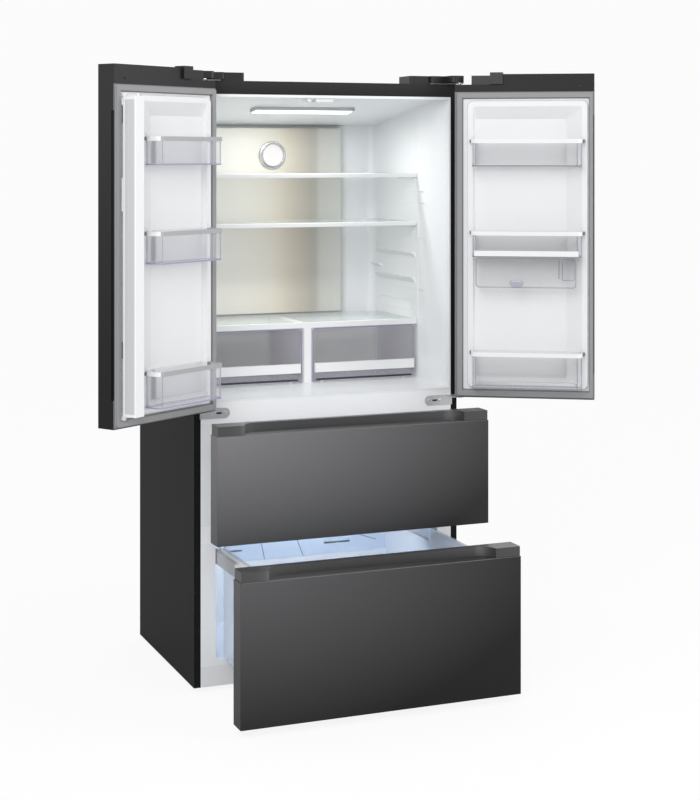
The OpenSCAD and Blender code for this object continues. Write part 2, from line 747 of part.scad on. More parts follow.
module crisper() difference() {
    crisper_box(crisper_x0, crisper_x1, crisper_y, crisper_z0, crisper_r);
    crisper_box(crisper_x0 + crisper_t, crisper_x1 - crisper_t, crisper_y + crisper_t,
        crisper_z0 + crisper_t, crisper_r - crisper_t);
    box(0, hw, 0, case_d, crisper_z1, case_h);
}
module crisper_handle() difference() {
    along_z(crisper_z0 + 26, crisper_z0 + 54) round_rect(crisper_x0 + 6, crisper_x1 - 4, crisper_y - 10, crisper_y + 10, 4);
    box(0, hw, crisper_y, case_d, 0, case_h);
    box(crisper_x0 + 30, crisper_x1 - 28, crisper_y - 7, crisper_y, 0, crisper_z0 + 48);
}
module left_crisper() color("#e6e4f6", 0.5) on_floor() mirror([1, 0, 0]) crisper();
module left_crisper_handle() color("#f4f5f8") on_floor() mirror([1, 0, 0]) crisper_handle();
module right_crisper() color("#e6e4f6", 0.5) on_floor() crisper();
module right_crisper_handle() color("#f4f5f8") on_floor() crisper_handle();

// Doors

// Shell of a door, with a notch at the top for the hinge and a bore for each pin
module door_shell() difference() {
    union() {
        along_z(door_z0, door_z1) difference() {
            round_rect(-hinge_in, door_l, face_y, hinge_back + 20, 4);
            translate([-hw, hinge_back - frame_t]) square([case_w, 40]);
        }
        box(-hinge_in, door_l, hinge_back - frame_t, hinge_back, frame_z1, door_z1);
    }
    box(-hinge_in - 1, notch_x1, face_y - 1, hinge_back + 1, notch_z, door_z1 + 1);
    translate([0, 0, notch_z - 28]) cylinder(r = pin_r + run_clear, h = 40);
    translate([0, 0, door_z0 - 1]) cylinder(r = pin_r + run_clear, h = 28);
    door_grip();
}

// Shallow finger recess along the free edge of a door
module door_grip() along_y(hinge_back - 10, hinge_back + 1)
    round_rect(door_l - 3.5, door_l + 20, door_z0 + 77, door_z1 - 124, 3);

module door_frame() difference() {
    box(-hinge_in, door_l, hinge_back - frame_t, hinge_back, frame_z0, frame_z1);
    box(seal_x0, seal_x1, 0, 60, seal_z0, seal_z1);
    door_grip();
}

module door_gasket() {
    y0 = hinge_back;
    for (k = [0, 1]) difference() {
        along_y(y0 + 4 * k, y0 + (k == 0 ? 4 : gasket_h))
            round_rect(gasket_x0 + 2 * k, gasket_x1 - 2 * k, gasket_z0 + 2 * k, gasket_z1 - 2 * k, 5);
        box(seal_x0 - 1 - 2 * k, seal_x1 + 1 + k, 0, 60, seal_z0 - 1 - 2 * k, seal_z1 + 1 + 2 * k);
    }
}

// Moulded door liner: a flat tray with a raised rim; inside the rim it slopes down to
// the back panel, gently at the top and at the free edge, where the bins are narrower
module door_liner(x1) {
    box(seal_x0, seal_x1, hinge_back - frame_t, hinge_back + 2, seal_z0, seal_z1);
    difference() {
        hull() {
            along_y(hinge_back + 1, hinge_back + 2)
                round_rect(dyke_x0 - 3, x1 + 3, dyke_z0 - 3, dyke_z1 + 3, dyke_r, $fn = 32);
            along_y(dyke_y1 - 1, dyke_y1) round_rect(dyke_x0, x1, dyke_z0, dyke_z1, dyke_r, $fn = 32);
        }
        hull() {
            along_y(hinge_back + 2, hinge_back + 3)
                round_rect(recess_x0 + slope_low, x1 - dyke_w - slope_side, recess_z0 + slope_low,
                    dyke_z1 - dyke_w - slope_top, dyke_r - 8, $fn = 32);
            along_y(dyke_y1, dyke_y1 + 1)
                round_rect(recess_x0, x1 - dyke_w, recess_z0, dyke_z1 - dyke_w, dyke_r - 8, $fn = 32);
        }
    }
}

// Bin, grown inwards by g: a wide part in front of the rim and a narrower part inside it,
// which starts above the round corners at the foot of the liner
module bin_space(x0, x1, z0, z1, g) {
    along_z(z0 + g, z1) round_rect(x0 + g, x1 - g, dyke_y1 + g, bin_y1 - g, 14 - g);
    along_z(max(z0, recess_z0 + dyke_r) + g, z1) translate([recess_x0 + slope_low + 4 + g, hinge_back + 4 + g])
        square([x1 + 1 - slope_side - recess_x0 - slope_low - 4 - 2 * g, dyke_d + 10]);
}
module door_bin(x0, x1, z0, z1) difference() {
    bin_space(x0, x1, z0, z1, 0);
    bin_space(x0, x1, z0, z1 + 1, bin_t);
}

// Rim band round the front of a bin, with a clip at each end that bears on the liner's rim
module bin_rim(x0, x1, z1) difference() {
    union() {
        along_z(z1 - rim_h, z1) round_rect(x0 - rim_t, x1 + rim_t, dyke_y1 + 1, bin_y1 + rim_t, 14 + rim_t);
        box(x0 - clip_l, x1 + clip_l, dyke_y1, dyke_y1 + 12, z1 - rim_h + 1, z1 - 1);
    }
    along_z(z1 - rim_h - 1, z1 + 1) round_rect(x0, x1, dyke_y1 - 30, bin_y1, 14);
}

// Bottom and top of the three bins of a door
function bin_heights(top_space, top_h, mid_space, mid_h, low, low_h) =
    let (t1 = head_z - top_space, m1 = t1 - top_h - mid_space)
    [[t1 - top_h, t1], [m1 - mid_h, m1], [floor_z + low, floor_z + low + low_h]];
left_bins = bin_heights(left_top_space, left_top_h, left_mid_space, left_mid_h, left_low, left_low_h);
right_bins = bin_heights(right_top_space, right_top_h, right_mid_space, right_mid_h, right_low, right_low_h);

// Cover over the cable that enters at the top of a door: an arm in the notch and a block
arm_x0 = 38;
arm_y0 = 8;
arm_z1 = door_z1 - 4;
block_l = 38;
block_h = 35;
block_rise = 5;
module cable_cover() {
    box(arm_x0, notch_x1, arm_y0, hinge_back - 2, notch_z, arm_z1);
    difference() {
        box(notch_x1 - 2, notch_x1 - 2 + block_l, hinge_back - 26, hinge_back + 9,
            door_z1 + block_rise - block_h, door_z1 + block_rise);
        box(notch_x1, door_l, face_y, hinge_back, 0, door_z1);
        box(-50, notch_x1 + 1, face_y, hinge_back, 0, notch_z);
    }
}

module left_door_shell() color("#2b2c2d") left_door_place() door_shell();
module left_door_frame() color("#8b8d8f") left_door_place() door_frame();
module left_door_gasket() color("#96989a") left_door_place() door_gasket();
module left_door_liner() color("#f6f8fb") left_door_place() {
    door_liner(left_dyke_x1);
    for (z = [mullion_z0 - 10, mullion_z1 + 2])
        box(pivot_x - 4, pivot_x + 4, hinge_back + 1, pivot_y + bracket_w, z, z + 8);
    translate([pivot_x, pivot_y, mullion_z0 - 4]) cylinder(r = mullion_pin_r, h = 16);
    translate([pivot_x, pivot_y, mullion_z1 - 12]) cylinder(r = mullion_pin_r, h = 16);
}
module left_cable_cover() color("#28292a") left_door_place() cable_cover();
module left_door_bins() color("#dcdcf4", 0.5) left_door_place()
    for (b = left_bins) door_bin(bin_x0, left_bin_x1, b[0], b[1]);
module left_bin_rims() color("#b3b5b8") left_door_place()
    for (b = left_bins) bin_rim(bin_x0, left_bin_x1, b[1]);

module mullion_bar() color("#eceef1") left_door_place() translate([pivot_x, pivot_y, 0]) difference() {
    union() {
        along_z(mullion_z0, mullion_z1)
            round_rect(pivot_in - mullion_t, pivot_in, -pivot_in, mullion_w - pivot_in, 3);
        translate([guide_x, guide_y, mullion_z1 - 1]) cylinder(r = guide_pin_r, h = guide_pin_h);
    }
    for (z = [mullion_z0 - 1, mullion_z1 - 13]) translate([0, 0, z]) cylinder(r = mullion_pin_r + run_clear, h = 14);
}

module right_door_shell() color("#2b2c2d") right_door_place() door_shell();
module right_door_frame() color("#8b8d8f") right_door_place() door_frame();
module right_door_gasket() color("#96989a") right_door_place() door_gasket();
module right_door_liner() color("#f6f8fb") right_door_place() door_liner(right_dyke_x1);
module right_cable_cover() color("#28292a") right_door_place() cable_cover();

box_z1 = right_bins[1][0] - 4;
box_x0 = bin_x0 + 10;
box_x1 = right_bin_x1 - 13;
hang_z = box_z1 - 10;
module right_door_bins() color("#dcdcf4", 0.5) right_door_place() {
    for (b = right_bins) door_bin(bin_x0, right_bin_x1, b[0], b[1]);
    for (s = [[box_x0 - 7, box_x0 - 5, box_x0 - 0.5], [box_x1 + 5, box_x1 + 7, box_x1 + 0.5]]) {
        box(s[0], s[1], dyke_y1 + 4, bin_y1 - 4, hang_z, right_bins[1][0] + 1);
        box(min(s[0], s[2]), max(s[1], s[2]), dyke_y1 + 4, bin_y1 - 4, hang_z, hang_z + 2.5);
    }
}
module right_bin_rims() color("#b3b5b8") right_door_place() {
    for (b = right_bins) bin_rim(bin_x0, right_bin_x1, b[1]);
    box(box_x0 - 2, box_x1 + 5, bin_y1, bin_y1 + rim_t, right_bins[1][0], right_bins[1][0] + 16);
}

// Clear box that hangs under the middle bin and slides out on its two flanges
module snack_box() color("#e4e4f8", 0.5) right_door_place() {
    y0 = dyke_y1 + 2;
    y1 = bin_y1 - 2;
    difference() {
        along_y(y0, y1) round_rect(box_x0, box_x1, box_z1 - box_h, box_z1 + 30, 12);
        along_y(y0 + bin_t, y1 - bin_t)
            round_rect(box_x0 + bin_t, box_x1 - bin_t, box_z1 - box_h + bin_t, box_z1 + 31, 10);
        box(0, hw, 0, 200, box_z1, box_z1 + 100);
    }
    for (s = [[box_x0 - 4, box_x0 + 1], [box_x1 - 1, box_x1 + 4]])
        box(s[0], s[1], y0, y1, hang_z + 3, hang_z + 5);
    along_y(y1, y1 + 5) difference() {
        round_rect(box_x0 + 100, box_x0 + 145, box_z1 - 87, box_z1 - 63, 11.9);
        round_rect(box_x0 + 105, box_x0 + 140, box_z1 - 82, box_z1 - 68, 6.9);
    }
}

// Freezer drawers: z0 and z1 are the bottom and the top of the front

module drawer_front(z0, z1) {
    zt = z1 - grip_h - reveal;
    along_z(z0, zt) difference() {
        round_rect(-front_w / 2, front_w / 2, -front_y, 0, 3);
        translate([-hw, -seal_gap]) square([case_w, 40]);
    }
    box(-front_w / 2 + reveal, front_w / 2 - reveal, -front_y + reveal, -seal_gap, zt, zt + reveal);
}

module drawer_grip(z1) difference() {
    along_z(z1 - grip_h, z1) difference() {
        round_rect(-front_w / 2 + reveal, front_w / 2 - reveal, -front_y, 0, 3);
        translate([-hw, -seal_gap]) square([case_w, 40]);
        translate([-grip_x, -front_y - 20]) square([2 * grip_x, grip_d + 20]);
        for (s = [-1, 1]) translate([s * grip_x, -front_y - 5]) circle(grip_d + 5);
    }
}

module drawer_gasket(z0, z1) for (k = [0, 1]) difference() {
    along_y(-seal_gap + 4 * k, -seal_gap + (k == 0 ? 4 : gasket_h))
        round_rect(-drawer_seal_x + 2 * k, drawer_seal_x - 2 * k, z0 + 2 * k, z1 - 2 * k, 5);
    box(-drawer_seal_x + drawer_seal_w - 2 * k, drawer_seal_x - drawer_seal_w + 2 * k, -40, 40,
        z0 + drawer_seal_w - 2 * k, z1 - drawer_seal_w + 2 * k);
}

// Inner panel with the two side plates and the inner runner members
module drawer_inner(z0, z1, rz) {
    px = drawer_seal_x - drawer_seal_w - 4;
    along_y(-seal_gap, -seal_gap + 6) round_rect(-px, px, z0 + drawer_seal_w + 4, z1 - drawer_seal_w - 4, 12);
    both_sides() {
        box(plate_x1 - plate_t, plate_x1, -seal_gap + 5, runner_y + runner_l - 6, rz - 25, rz + 25);
        along_y(runner_y, runner_y + runner_l) {
            translate([plate_x1 - 0.5, rz - inner_h / 2]) square([inner_x1 - plate_x1 + 0.5, inner_h]);
        }
    }
}

module drawer_basket(z0, rz) {
    zt = rz + 25;
    difference() {
        along_z(z0, zt + basket_lip) round_rect(-basket_x1, basket_x1, 2, basket_y1, 24);
        along_z(z0 + basket_t, case_h) round_rect(-basket_x1 + basket_t, basket_x1 - basket_t,
            2 + basket_t, basket_y1 - basket_t, 24 - basket_t);
    }
    both_sides() box(basket_x1 - 1, plate_x1, 30, basket_y1 - 30, zt, zt + basket_lip);
}

module mid_runners(rz) both_sides()
    along_y(runner_y, runner_y + runner_l) channel(mid_x1, runner_w, mid_h, rz);

upper_seal = [upper_z0 + 1.5, up_z1 + 10];
lower_seal = [plinth_h - 30, low_z1 + 8];
module upper_drawer_front() color("#4a4b4c") upper_place() drawer_front(upper_z0, upper_top);
module upper_drawer_grip() color("#333435") upper_place() drawer_grip(upper_top);
module upper_drawer_gasket() color("#96989a") upper_place() drawer_gasket(upper_seal[0], upper_seal[1]);
module upper_drawer_inner() color("#eef1f4") upper_place()
    drawer_inner(upper_seal[0], upper_seal[1], upper_runner_z);
module upper_drawer_basket() color("#eef4fb", 0.7) upper_place() drawer_basket(up_z0 + 7, upper_runner_z);
module upper_mid_runners() color("#b4b8bd") upper_place(0.5) mid_runners(upper_runner_z);

module lower_drawer_front() color("#3d3e3f") lower_place() drawer_front(lower_front_z, lower_top);
module lower_drawer_grip() color("#333435") lower_place() drawer_grip(lower_top);
module lower_drawer_gasket() color("#96989a") lower_place() drawer_gasket(lower_seal[0], lower_seal[1]);
module lower_drawer_inner() color("#eef1f4") lower_place()
    drawer_inner(lower_seal[0], lower_seal[1], lower_runner_z);
module lower_drawer_basket() color("#eef4fb", 0.7) lower_place() drawer_basket(frz_floor + 7, lower_runner_z);
module lower_mid_runners() color("#b4b8bd") lower_place(0.5) mid_runners(lower_runner_z);

outer_case();
base_plate();
insulation();
rear_panel();
machine_cover();
compressor();
condenser();
front_rails();
plinth();
fridge_liner();
freezer_liner();
air_duct_panel();
air_filter();
lamp_housing();
lamp_lens();
mullion_guide();
glass_shelves();
shelf_trims();
crisper_frame();
evaporator_cover();
evaporator();
fixed_runners();
top_hinges();
hinge_covers();
middle_hinges();
levelling_feet();
fan_blades();
rear_rollers();
left_crisper();
left_crisper_handle();
right_crisper();
right_crisper_handle();
left_door_shell();
left_door_frame();
left_door_gasket();
left_door_liner();
left_cable_cover();
left_door_bins();
left_bin_rims();
mullion_bar();
right_door_shell();
right_door_frame();
right_door_gasket();
right_door_liner();
right_cable_cover();
right_door_bins();
right_bin_rims();
snack_box();
upper_drawer_front();
upper_drawer_grip();
upper_drawer_gasket();
upper_drawer_inner();
upper_drawer_basket();
upper_mid_runners();
lower_drawer_front();
lower_drawer_grip();
lower_drawer_gasket();
lower_drawer_inner();
lower_drawer_basket();
lower_mid_runners();
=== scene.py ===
# %% [markdown]
# # A fridge freezer with its doors open, dressed in Blender
#
# The solid model of the appliance comes in ready made: a cabinet, two doors, two
# freezer drawers and everything that is fixed to them. Nothing of it is moved or
# reshaped here. This lesson gives each piece the finish of the real one, and adds
# the small things that a moulder or a sheet metal worker would leave on it, such as
# screws, beads and clips. It ends with the studio and the camera.

import math

import bmesh
import bpy
from mathutils import Matrix, Vector


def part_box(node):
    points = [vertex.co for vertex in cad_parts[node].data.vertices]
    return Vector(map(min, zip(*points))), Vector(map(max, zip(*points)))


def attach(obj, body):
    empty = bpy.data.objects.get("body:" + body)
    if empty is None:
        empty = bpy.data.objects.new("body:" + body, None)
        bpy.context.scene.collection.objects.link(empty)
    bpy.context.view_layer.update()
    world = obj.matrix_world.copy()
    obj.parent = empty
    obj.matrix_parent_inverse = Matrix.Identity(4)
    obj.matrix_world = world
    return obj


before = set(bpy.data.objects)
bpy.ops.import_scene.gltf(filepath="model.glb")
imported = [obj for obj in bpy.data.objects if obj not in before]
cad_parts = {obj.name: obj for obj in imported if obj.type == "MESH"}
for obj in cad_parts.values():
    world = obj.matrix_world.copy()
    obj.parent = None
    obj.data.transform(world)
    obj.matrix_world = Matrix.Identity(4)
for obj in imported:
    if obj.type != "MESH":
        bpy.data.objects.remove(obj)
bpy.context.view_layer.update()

# %% [markdown]
# ## Sizes that the dressing shares with the solid model
#
# All sizes are in metres. The solid model measures depth from the front plane of
# the cabinet and height from its underside, so a small helper turns such sizes into
# places in the room. A second one does the same for a door, and counts along the
# door from its hinge axis, into the fridge, and up. LIFT is the room that the feet
# leave under the cabinet, and DOOR_L is how far a door reaches from its axis.

# %% Places on the cabinet and on the doors
CASE_W, CASE_D, LIFT = 0.833, 0.594, 0.013
HINGE_IN, HINGE_OUT = 0.012, 0.048
HINGE = Vector((CASE_W / 2 - HINGE_IN, HINGE_OUT))
DOOR_ANGLE = {"left": math.radians(147.5), "right": math.radians(149.0)}
DOOR_L = 0.4025


def on_cabinet(x, y, z):
    """Place from the middle of the width, the front plane and the underside."""
    return Vector((x, y - CASE_D / 2, z + LIFT))


def door_matrix(side):
    """Turns door sizes (along, inwards, up) into places in the room."""
    turn = Matrix.Rotation(-DOOR_ANGLE[side], 4, "Z")
    hang = Matrix.Translation(on_cabinet(-HINGE.x, -HINGE.y, 0))
    flip = Matrix.Scale(-1, 4, (1, 0, 0)) if side == "right" else Matrix.Identity(4)
    return flip @ hang @ turn


print("left door matrix", [round(v, 3) for v in door_matrix("left").translation])

# %% [markdown]
# ## Making a finish
#
# Every finish starts from the Principled shader, and values that are the same all over
# are set on the shader itself. A second helper gives the finish to pieces of the solid
# model by their names, and prints which pieces those are.

# %% A finish and its pieces
def new_finish(name, colour, roughness, metallic=0.0, coat=0.0, specular=0.5):
    """Material with a Principled shader; returns it with its node tree and shader."""
    material = bpy.data.materials.new(name)
    material.use_nodes = True
    tree = material.node_tree
    shader = tree.nodes["Principled BSDF"]
    shader.inputs["Base Color"].default_value = (*colour, 1.0)
    shader.inputs["Roughness"].default_value = roughness
    shader.inputs["Metallic"].default_value = metallic
    shader.inputs["Coat Weight"].default_value = coat
    shader.inputs["Coat Roughness"].default_value = 0.08
    shader.inputs["Specular IOR Level"].default_value = specular
    material.diffuse_color = (*colour, 1.0)
    return material, tree, shader


def dress(material, *nodes):
    """Give a finish to pieces of the solid model."""
    for name in nodes:
        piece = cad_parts[name]
        piece.data.materials.clear()
        piece.data.materials.append(material)
        piece["finish"] = material.name
    print(material.name, "on", ", ".join(nodes))


print("ready to dress", len(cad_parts), "pieces")

# %% [markdown]
# ## Grain and tone
#
# What varies, such as the fine grain of a moulding or the brush lines of a sheet, comes
# from noise that reads Object coordinates. So it stays where it is when a door swings
# or the camera moves.

# %% Noise, grain and two tones
def add_noise(tree, scale, stretch=(1, 1, 1), detail=4.0):
    """Noise on Object coordinates, stretched along an axis for brush lines."""
    coords = tree.nodes.new("ShaderNodeTexCoord")
    mapping = tree.nodes.new("ShaderNodeMapping")
    mapping.inputs["Scale"].default_value = stretch
    noise = tree.nodes.new("ShaderNodeTexNoise")
    noise.inputs["Scale"].default_value = scale
    noise.inputs["Detail"].default_value = detail
    tree.links.new(coords.outputs["Object"], mapping.inputs["Vector"])
    tree.links.new(mapping.outputs["Vector"], noise.inputs["Vector"])
    return noise


def add_grain(tree, shader, scale, strength, stretch=(1, 1, 1), distance=0.0001):
    """Fine bump from noise."""
    noise = add_noise(tree, scale, stretch)
    bump = tree.nodes.new("ShaderNodeBump")
    bump.inputs["Strength"].default_value = strength
    bump.inputs["Distance"].default_value = distance
    tree.links.new(noise.outputs["Fac"], bump.inputs["Height"])
    tree.links.new(bump.outputs["Normal"], shader.inputs["Normal"])
    return noise


def vary_colour(tree, shader, noise, dark, light, low=0.35, high=0.65):
    """Two close colours, mixed by noise."""
    ramp = tree.nodes.new("ShaderNodeValToRGB")
    ramp.color_ramp.elements[0].position = low
    ramp.color_ramp.elements[0].color = (*dark, 1.0)
    ramp.color_ramp.elements[1].position = high
    ramp.color_ramp.elements[1].color = (*light, 1.0)
    tree.links.new(noise.outputs["Fac"], ramp.inputs["Fac"])
    tree.links.new(ramp.outputs["Color"], shader.inputs["Base Color"])


print("ready to vary a finish")

# %% [markdown]
# ## The white studio
#
# The appliance stands on a pale floor in plain soft light. The white background is a
# colour that the world shows to the camera and to shiny and clear surfaces, while a
# dimmer one lights the object. So the background is white without extra light.

# %% World
BACKDROP, BACKDROP_POWER = (0.97, 0.97, 0.97, 1), 1.0
SKY, SKY_POWER = (0.98, 0.99, 1.0, 1), 0.75
bpy.context.scene.view_settings.view_transform = "Standard"
world = bpy.data.worlds.new("studio_white")
bpy.context.scene.world = world
world.use_nodes = True
sky = world.node_tree
sky_out = sky.nodes["World Output"]
sky_seen = sky.nodes["Background"]
sky_seen.inputs["Color"].default_value = BACKDROP
sky_seen.inputs["Strength"].default_value = BACKDROP_POWER
sky_lit = sky.nodes.new("ShaderNodeBackground")
sky_lit.inputs["Color"].default_value = SKY
sky_lit.inputs["Strength"].default_value = SKY_POWER
sky_path = sky.nodes.new("ShaderNodeLightPath")
seen_or_shiny = sky.nodes.new("ShaderNodeMath")
seen_or_shiny.operation = "MAXIMUM"
or_through = sky.nodes.new("ShaderNodeMath")
or_through.operation = "MAXIMUM"
sky_mix = sky.nodes.new("ShaderNodeMixShader")
sky.links.new(sky_path.outputs["Is Camera Ray"], seen_or_shiny.inputs[0])
sky.links.new(sky_path.outputs["Is Glossy Ray"], seen_or_shiny.inputs[1])
sky.links.new(seen_or_shiny.outputs[0], or_through.inputs[0])
sky.links.new(sky_path.outputs["Is Transmission Ray"], or_through.inputs[1])
sky.links.new(or_through.outputs[0], sky_mix.inputs["Fac"])
sky.links.new(sky_lit.outputs[0], sky_mix.inputs[1])
sky.links.new(sky_seen.outputs[0], sky_mix.inputs[2])
sky.links.new(sky_mix.outputs[0], sky_out.inputs["Surface"])
print("world shows", BACKDROP[:3], "and lights with", SKY_POWER)

# %% [markdown]
# ## The floor
#
# The floor is one large pale sheet. For the camera alone it glows, so that it meets
# the white background without an edge. The rest of its shader is dull grey, and keeps
# the soft shadow under the object.

# %% Floor
FLOOR_HALF, FLOOR_GREY = 40, (0.62, 0.62, 0.62)
GLOW_POWER, GLOW_SHARE = 1.105, 0.82
floor_bm = bmesh.new()
bmesh.ops.create_grid(floor_bm, x_segments=1, y_segments=1, size=FLOOR_HALF)
floor_mesh = bpy.data.meshes.new("studio_floor")
floor_bm.to_mesh(floor_mesh)
floor_bm.free()
floor = bpy.data.objects.new("studio_floor", floor_mesh)
bpy.context.collection.objects.link(floor)
floor_finish, floor_tree, floor_shader = new_finish("pale_floor", FLOOR_GREY, 0.9)
floor_glow = floor_tree.nodes.new("ShaderNodeEmission")
floor_glow.inputs["Color"].default_value = BACKDROP
floor_glow.inputs["Strength"].default_value = GLOW_POWER
floor_path = floor_tree.nodes.new("ShaderNodeLightPath")
floor_seen = floor_tree.nodes.new("ShaderNodeMath")
floor_seen.operation = "MULTIPLY"
floor_seen.inputs[1].default_value = GLOW_SHARE
floor_mix = floor_tree.nodes.new("ShaderNodeMixShader")
floor_tree.links.new(floor_path.outputs["Is Camera Ray"], floor_seen.inputs[0])
floor_tree.links.new(floor_seen.outputs[0], floor_mix.inputs["Fac"])
floor_tree.links.new(floor_shader.outputs[0], floor_mix.inputs[1])
floor_tree.links.new(floor_glow.outputs[0], floor_mix.inputs[2])
floor_tree.links.new(floor_mix.outputs[0], floor_tree.nodes["Material Output"].inputs["Surface"])
floor.data.materials.append(floor_finish)
print("floor of", 2 * FLOOR_HALF, "m")

# %% [markdown]
# ## The lamps
#
# Two large soft lamps stand in front, a strong one on the left and a weaker one on
# the right. Three small ones stand for the light inside: one under the ceiling, one
# over the crispers and one in the freezer.

# %% Lamps
def soft_lamp(name, place, target, size, power):
    """Rectangular area lamp that faces a target."""
    data = bpy.data.lights.new(name, "AREA")
    data.shape = "RECTANGLE"
    data.size, data.size_y = size
    data.energy = power
    lamp = bpy.data.objects.new(name, data)
    lamp.location = place
    lamp.rotation_euler = (Vector(target) - Vector(place)).to_track_quat("-Z", "Y").to_euler()
    lamp.visible_camera = False
    bpy.context.collection.objects.link(lamp)


soft_lamp("key_from_front_left", (-2.6, -4.2, 3.4), target=(0, -0.2, 0.9), size=(2.6, 2.6), power=108)
soft_lamp("fill_from_right", (3.4, -3.0, 2.2), target=(0, -0.2, 1.0), size=(2.4, 2.8), power=54)
soft_lamp("cabinet_lamp", on_cabinet(0, 0.235, 1.640), target=on_cabinet(0, 0.20, 0.9),
          size=(0.30, 0.035), power=1.5)
soft_lamp("crisper_lamp", on_cabinet(0, 0.27, 1.075), target=on_cabinet(0, 0.32, 0.90),
          size=(0.60, 0.16), power=0.42)
soft_lamp("freezer_lamp", on_cabinet(0.03, 0.12, 0.428), target=on_cabinet(0.03, 0.42, 0.25),
          size=(0.60, 0.05), power=1.1)
print("lamps:", [lamp.name for lamp in bpy.data.lights])

# %% [markdown]
# ## The camera
#
# The photograph was taken from the left, at about the height of a standing person's
# eyes, with the camera held level. The picture was then framed lower, which is what a
# vertical shift of the lens does: upright edges stay upright.

# %% Camera
camera_data = bpy.data.cameras.new("camera")
camera = bpy.data.objects.new("camera", camera_data)
bpy.context.collection.objects.link(camera)
bpy.context.scene.camera = camera
CAMERA_TURN = -22.04
CAMERA_PLACE = on_cabinet(-1.82835, -4.67891, 1.5301)
FOCAL_PX, PICTURE_H, HORIZON_ROW = 1698.2, 800, 154.65
SENSOR_MM = 36.0
camera_data.sensor_width = SENSOR_MM
camera_data.lens = FOCAL_PX * SENSOR_MM / PICTURE_H
camera_data.shift_y = -(PICTURE_H / 2 - HORIZON_ROW) / PICTURE_H
camera.location = CAMERA_PLACE
camera.rotation_euler = (math.radians(90), 0, math.radians(CAMERA_TURN))
camera_data.clip_end = 100
print("camera", [round(v, 3) for v in camera.location], "lens", round(camera_data.lens, 2))

# %% [markdown]
# ## The lacquered case
#
# The cabinet's sides are satin black lacquer with a very fine orange peel. The room is
# mirrored as a paler band along their top, and a colour ramp over the height paints
# that reflection into the colour. The grips, the duct panel and the freezer's walls
# also carry painted light and shade, so the ramp is in a helper that takes any axis.

# %% Painted light bands and the case
def painted_light_bands(name, axis, stops, roughness, metallic=0.0, specular=0.5, stretch=(1, 1, 1)):
    """Finish with painted light, its tone changing in soft bands along an axis."""
    material, tree, shader = new_finish(name, stops[0][1], roughness, metallic, specular=specular)
    low, high = stops[0][0], stops[-1][0]
    coords = tree.nodes.new("ShaderNodeTexCoord")
    split = tree.nodes.new("ShaderNodeSeparateXYZ")
    across = tree.nodes.new("ShaderNodeMapRange")
    across.inputs["From Min"].default_value = low
    across.inputs["From Max"].default_value = high
    ramp = tree.nodes.new("ShaderNodeValToRGB")
    ramp.color_ramp.interpolation = "B_SPLINE"
    for place, _ in stops[1:-1]:
        ramp.color_ramp.elements.new((place - low) / (high - low))
    for stop, (_, colour) in zip(ramp.color_ramp.elements, stops):
        stop.color = (*colour, 1)
    tree.links.new(coords.outputs["Object"], split.inputs["Vector"])
    tree.links.new(split.outputs[axis], across.inputs["Value"])
    tree.links.new(across.outputs["Result"], ramp.inputs["Fac"])
    tree.links.new(ramp.outputs["Color"], shader.inputs["Base Color"])
    add_grain(tree, shader, 500, 0.06, stretch)
    return material


# Painted reflection: the lacquer turns paler towards the top of the case.
CASE_PAINTED_REFLECTION_BANDS = [(1.55, (0.0105, 0.0105, 0.0108)), (1.70, (0.014, 0.014, 0.0145)),
              (1.757, (0.040, 0.040, 0.041))]
dress(painted_light_bands("case_black_lacquer_painted_reflection", "Z", CASE_PAINTED_REFLECTION_BANDS, 0.5, specular=0.07), "outer_case")

# %% [markdown]
# ## Dark steel fronts
#
# The doors and the drawer fronts are brushed dark steel under a thin clear coat. The
# rolled sheet catches the light in one broad, soft patch at its left, and that patch is a
# painted highlight: a round gradient fixed to the sheet gives it, the same in every view.
# The upper drawer's copy of the steel is lighter than the lower one's, which is painted
# light too.

# %% Steel of the doors and drawers
def steel_with_painted_highlight(name, dark, light, centre, reach):
    """Dark steel with a painted highlight that opens up towards a place on the sheet."""
    material, tree, shader = new_finish(name, dark, 0.42, 0.30, coat=0.05, specular=0.3)
    coords = tree.nodes.new("ShaderNodeTexCoord")
    mapping = tree.nodes.new("ShaderNodeMapping")
    mapping.vector_type = "TEXTURE"
    mapping.inputs["Location"].default_value = centre
    mapping.inputs["Scale"].default_value = reach
    gradient = tree.nodes.new("ShaderNodeTexGradient")
    gradient.gradient_type = "SPHERICAL"
    ramp = tree.nodes.new("ShaderNodeValToRGB")
    ramp.color_ramp.elements[0].color = (*dark, 1)
    ramp.color_ramp.elements[1].position = 0.9
    ramp.color_ramp.elements[1].color = (*light, 1)
    tree.links.new(coords.outputs["Object"], mapping.inputs["Vector"])
    tree.links.new(mapping.outputs["Vector"], gradient.inputs["Vector"])
    tree.links.new(gradient.outputs["Fac"], ramp.inputs["Fac"])
    tree.links.new(ramp.outputs["Color"], shader.inputs["Base Color"])
    add_grain(tree, shader, 260, 0.06, stretch=(0.04, 1, 1))
    return material


# Painted light: the upper front is a lighter copy of the steel than the lower one.
upper_steel = steel_with_painted_highlight("dark_steel_upper", (0.022, 0.022, 0.023), (0.20, 0.20, 0.205),
                         centre=on_cabinet(-0.42, -0.22, 0.80), reach=(0.98, 0.9, 0.49))
lower_steel = steel_with_painted_highlight("dark_steel_lower", (0.012, 0.012, 0.0125), (0.10, 0.10, 0.103),
                         centre=on_cabinet(-0.42, -0.42, 0.46), reach=(0.98, 0.9, 0.50))
dress(upper_steel, "upper_drawer_front")
dress(lower_steel, "lower_drawer_front")
# The doors carry a faint painted highlight towards their top left.
door_steel = steel_with_painted_highlight("dark_steel_door", (0.010, 0.010, 0.0105), (0.026, 0.026, 0.027),
                        centre=on_cabinet(-0.7, -0.3, 1.72), reach=(0.9, 0.9, 0.8))
dress(door_steel, "left_door_shell", "right_door_shell")
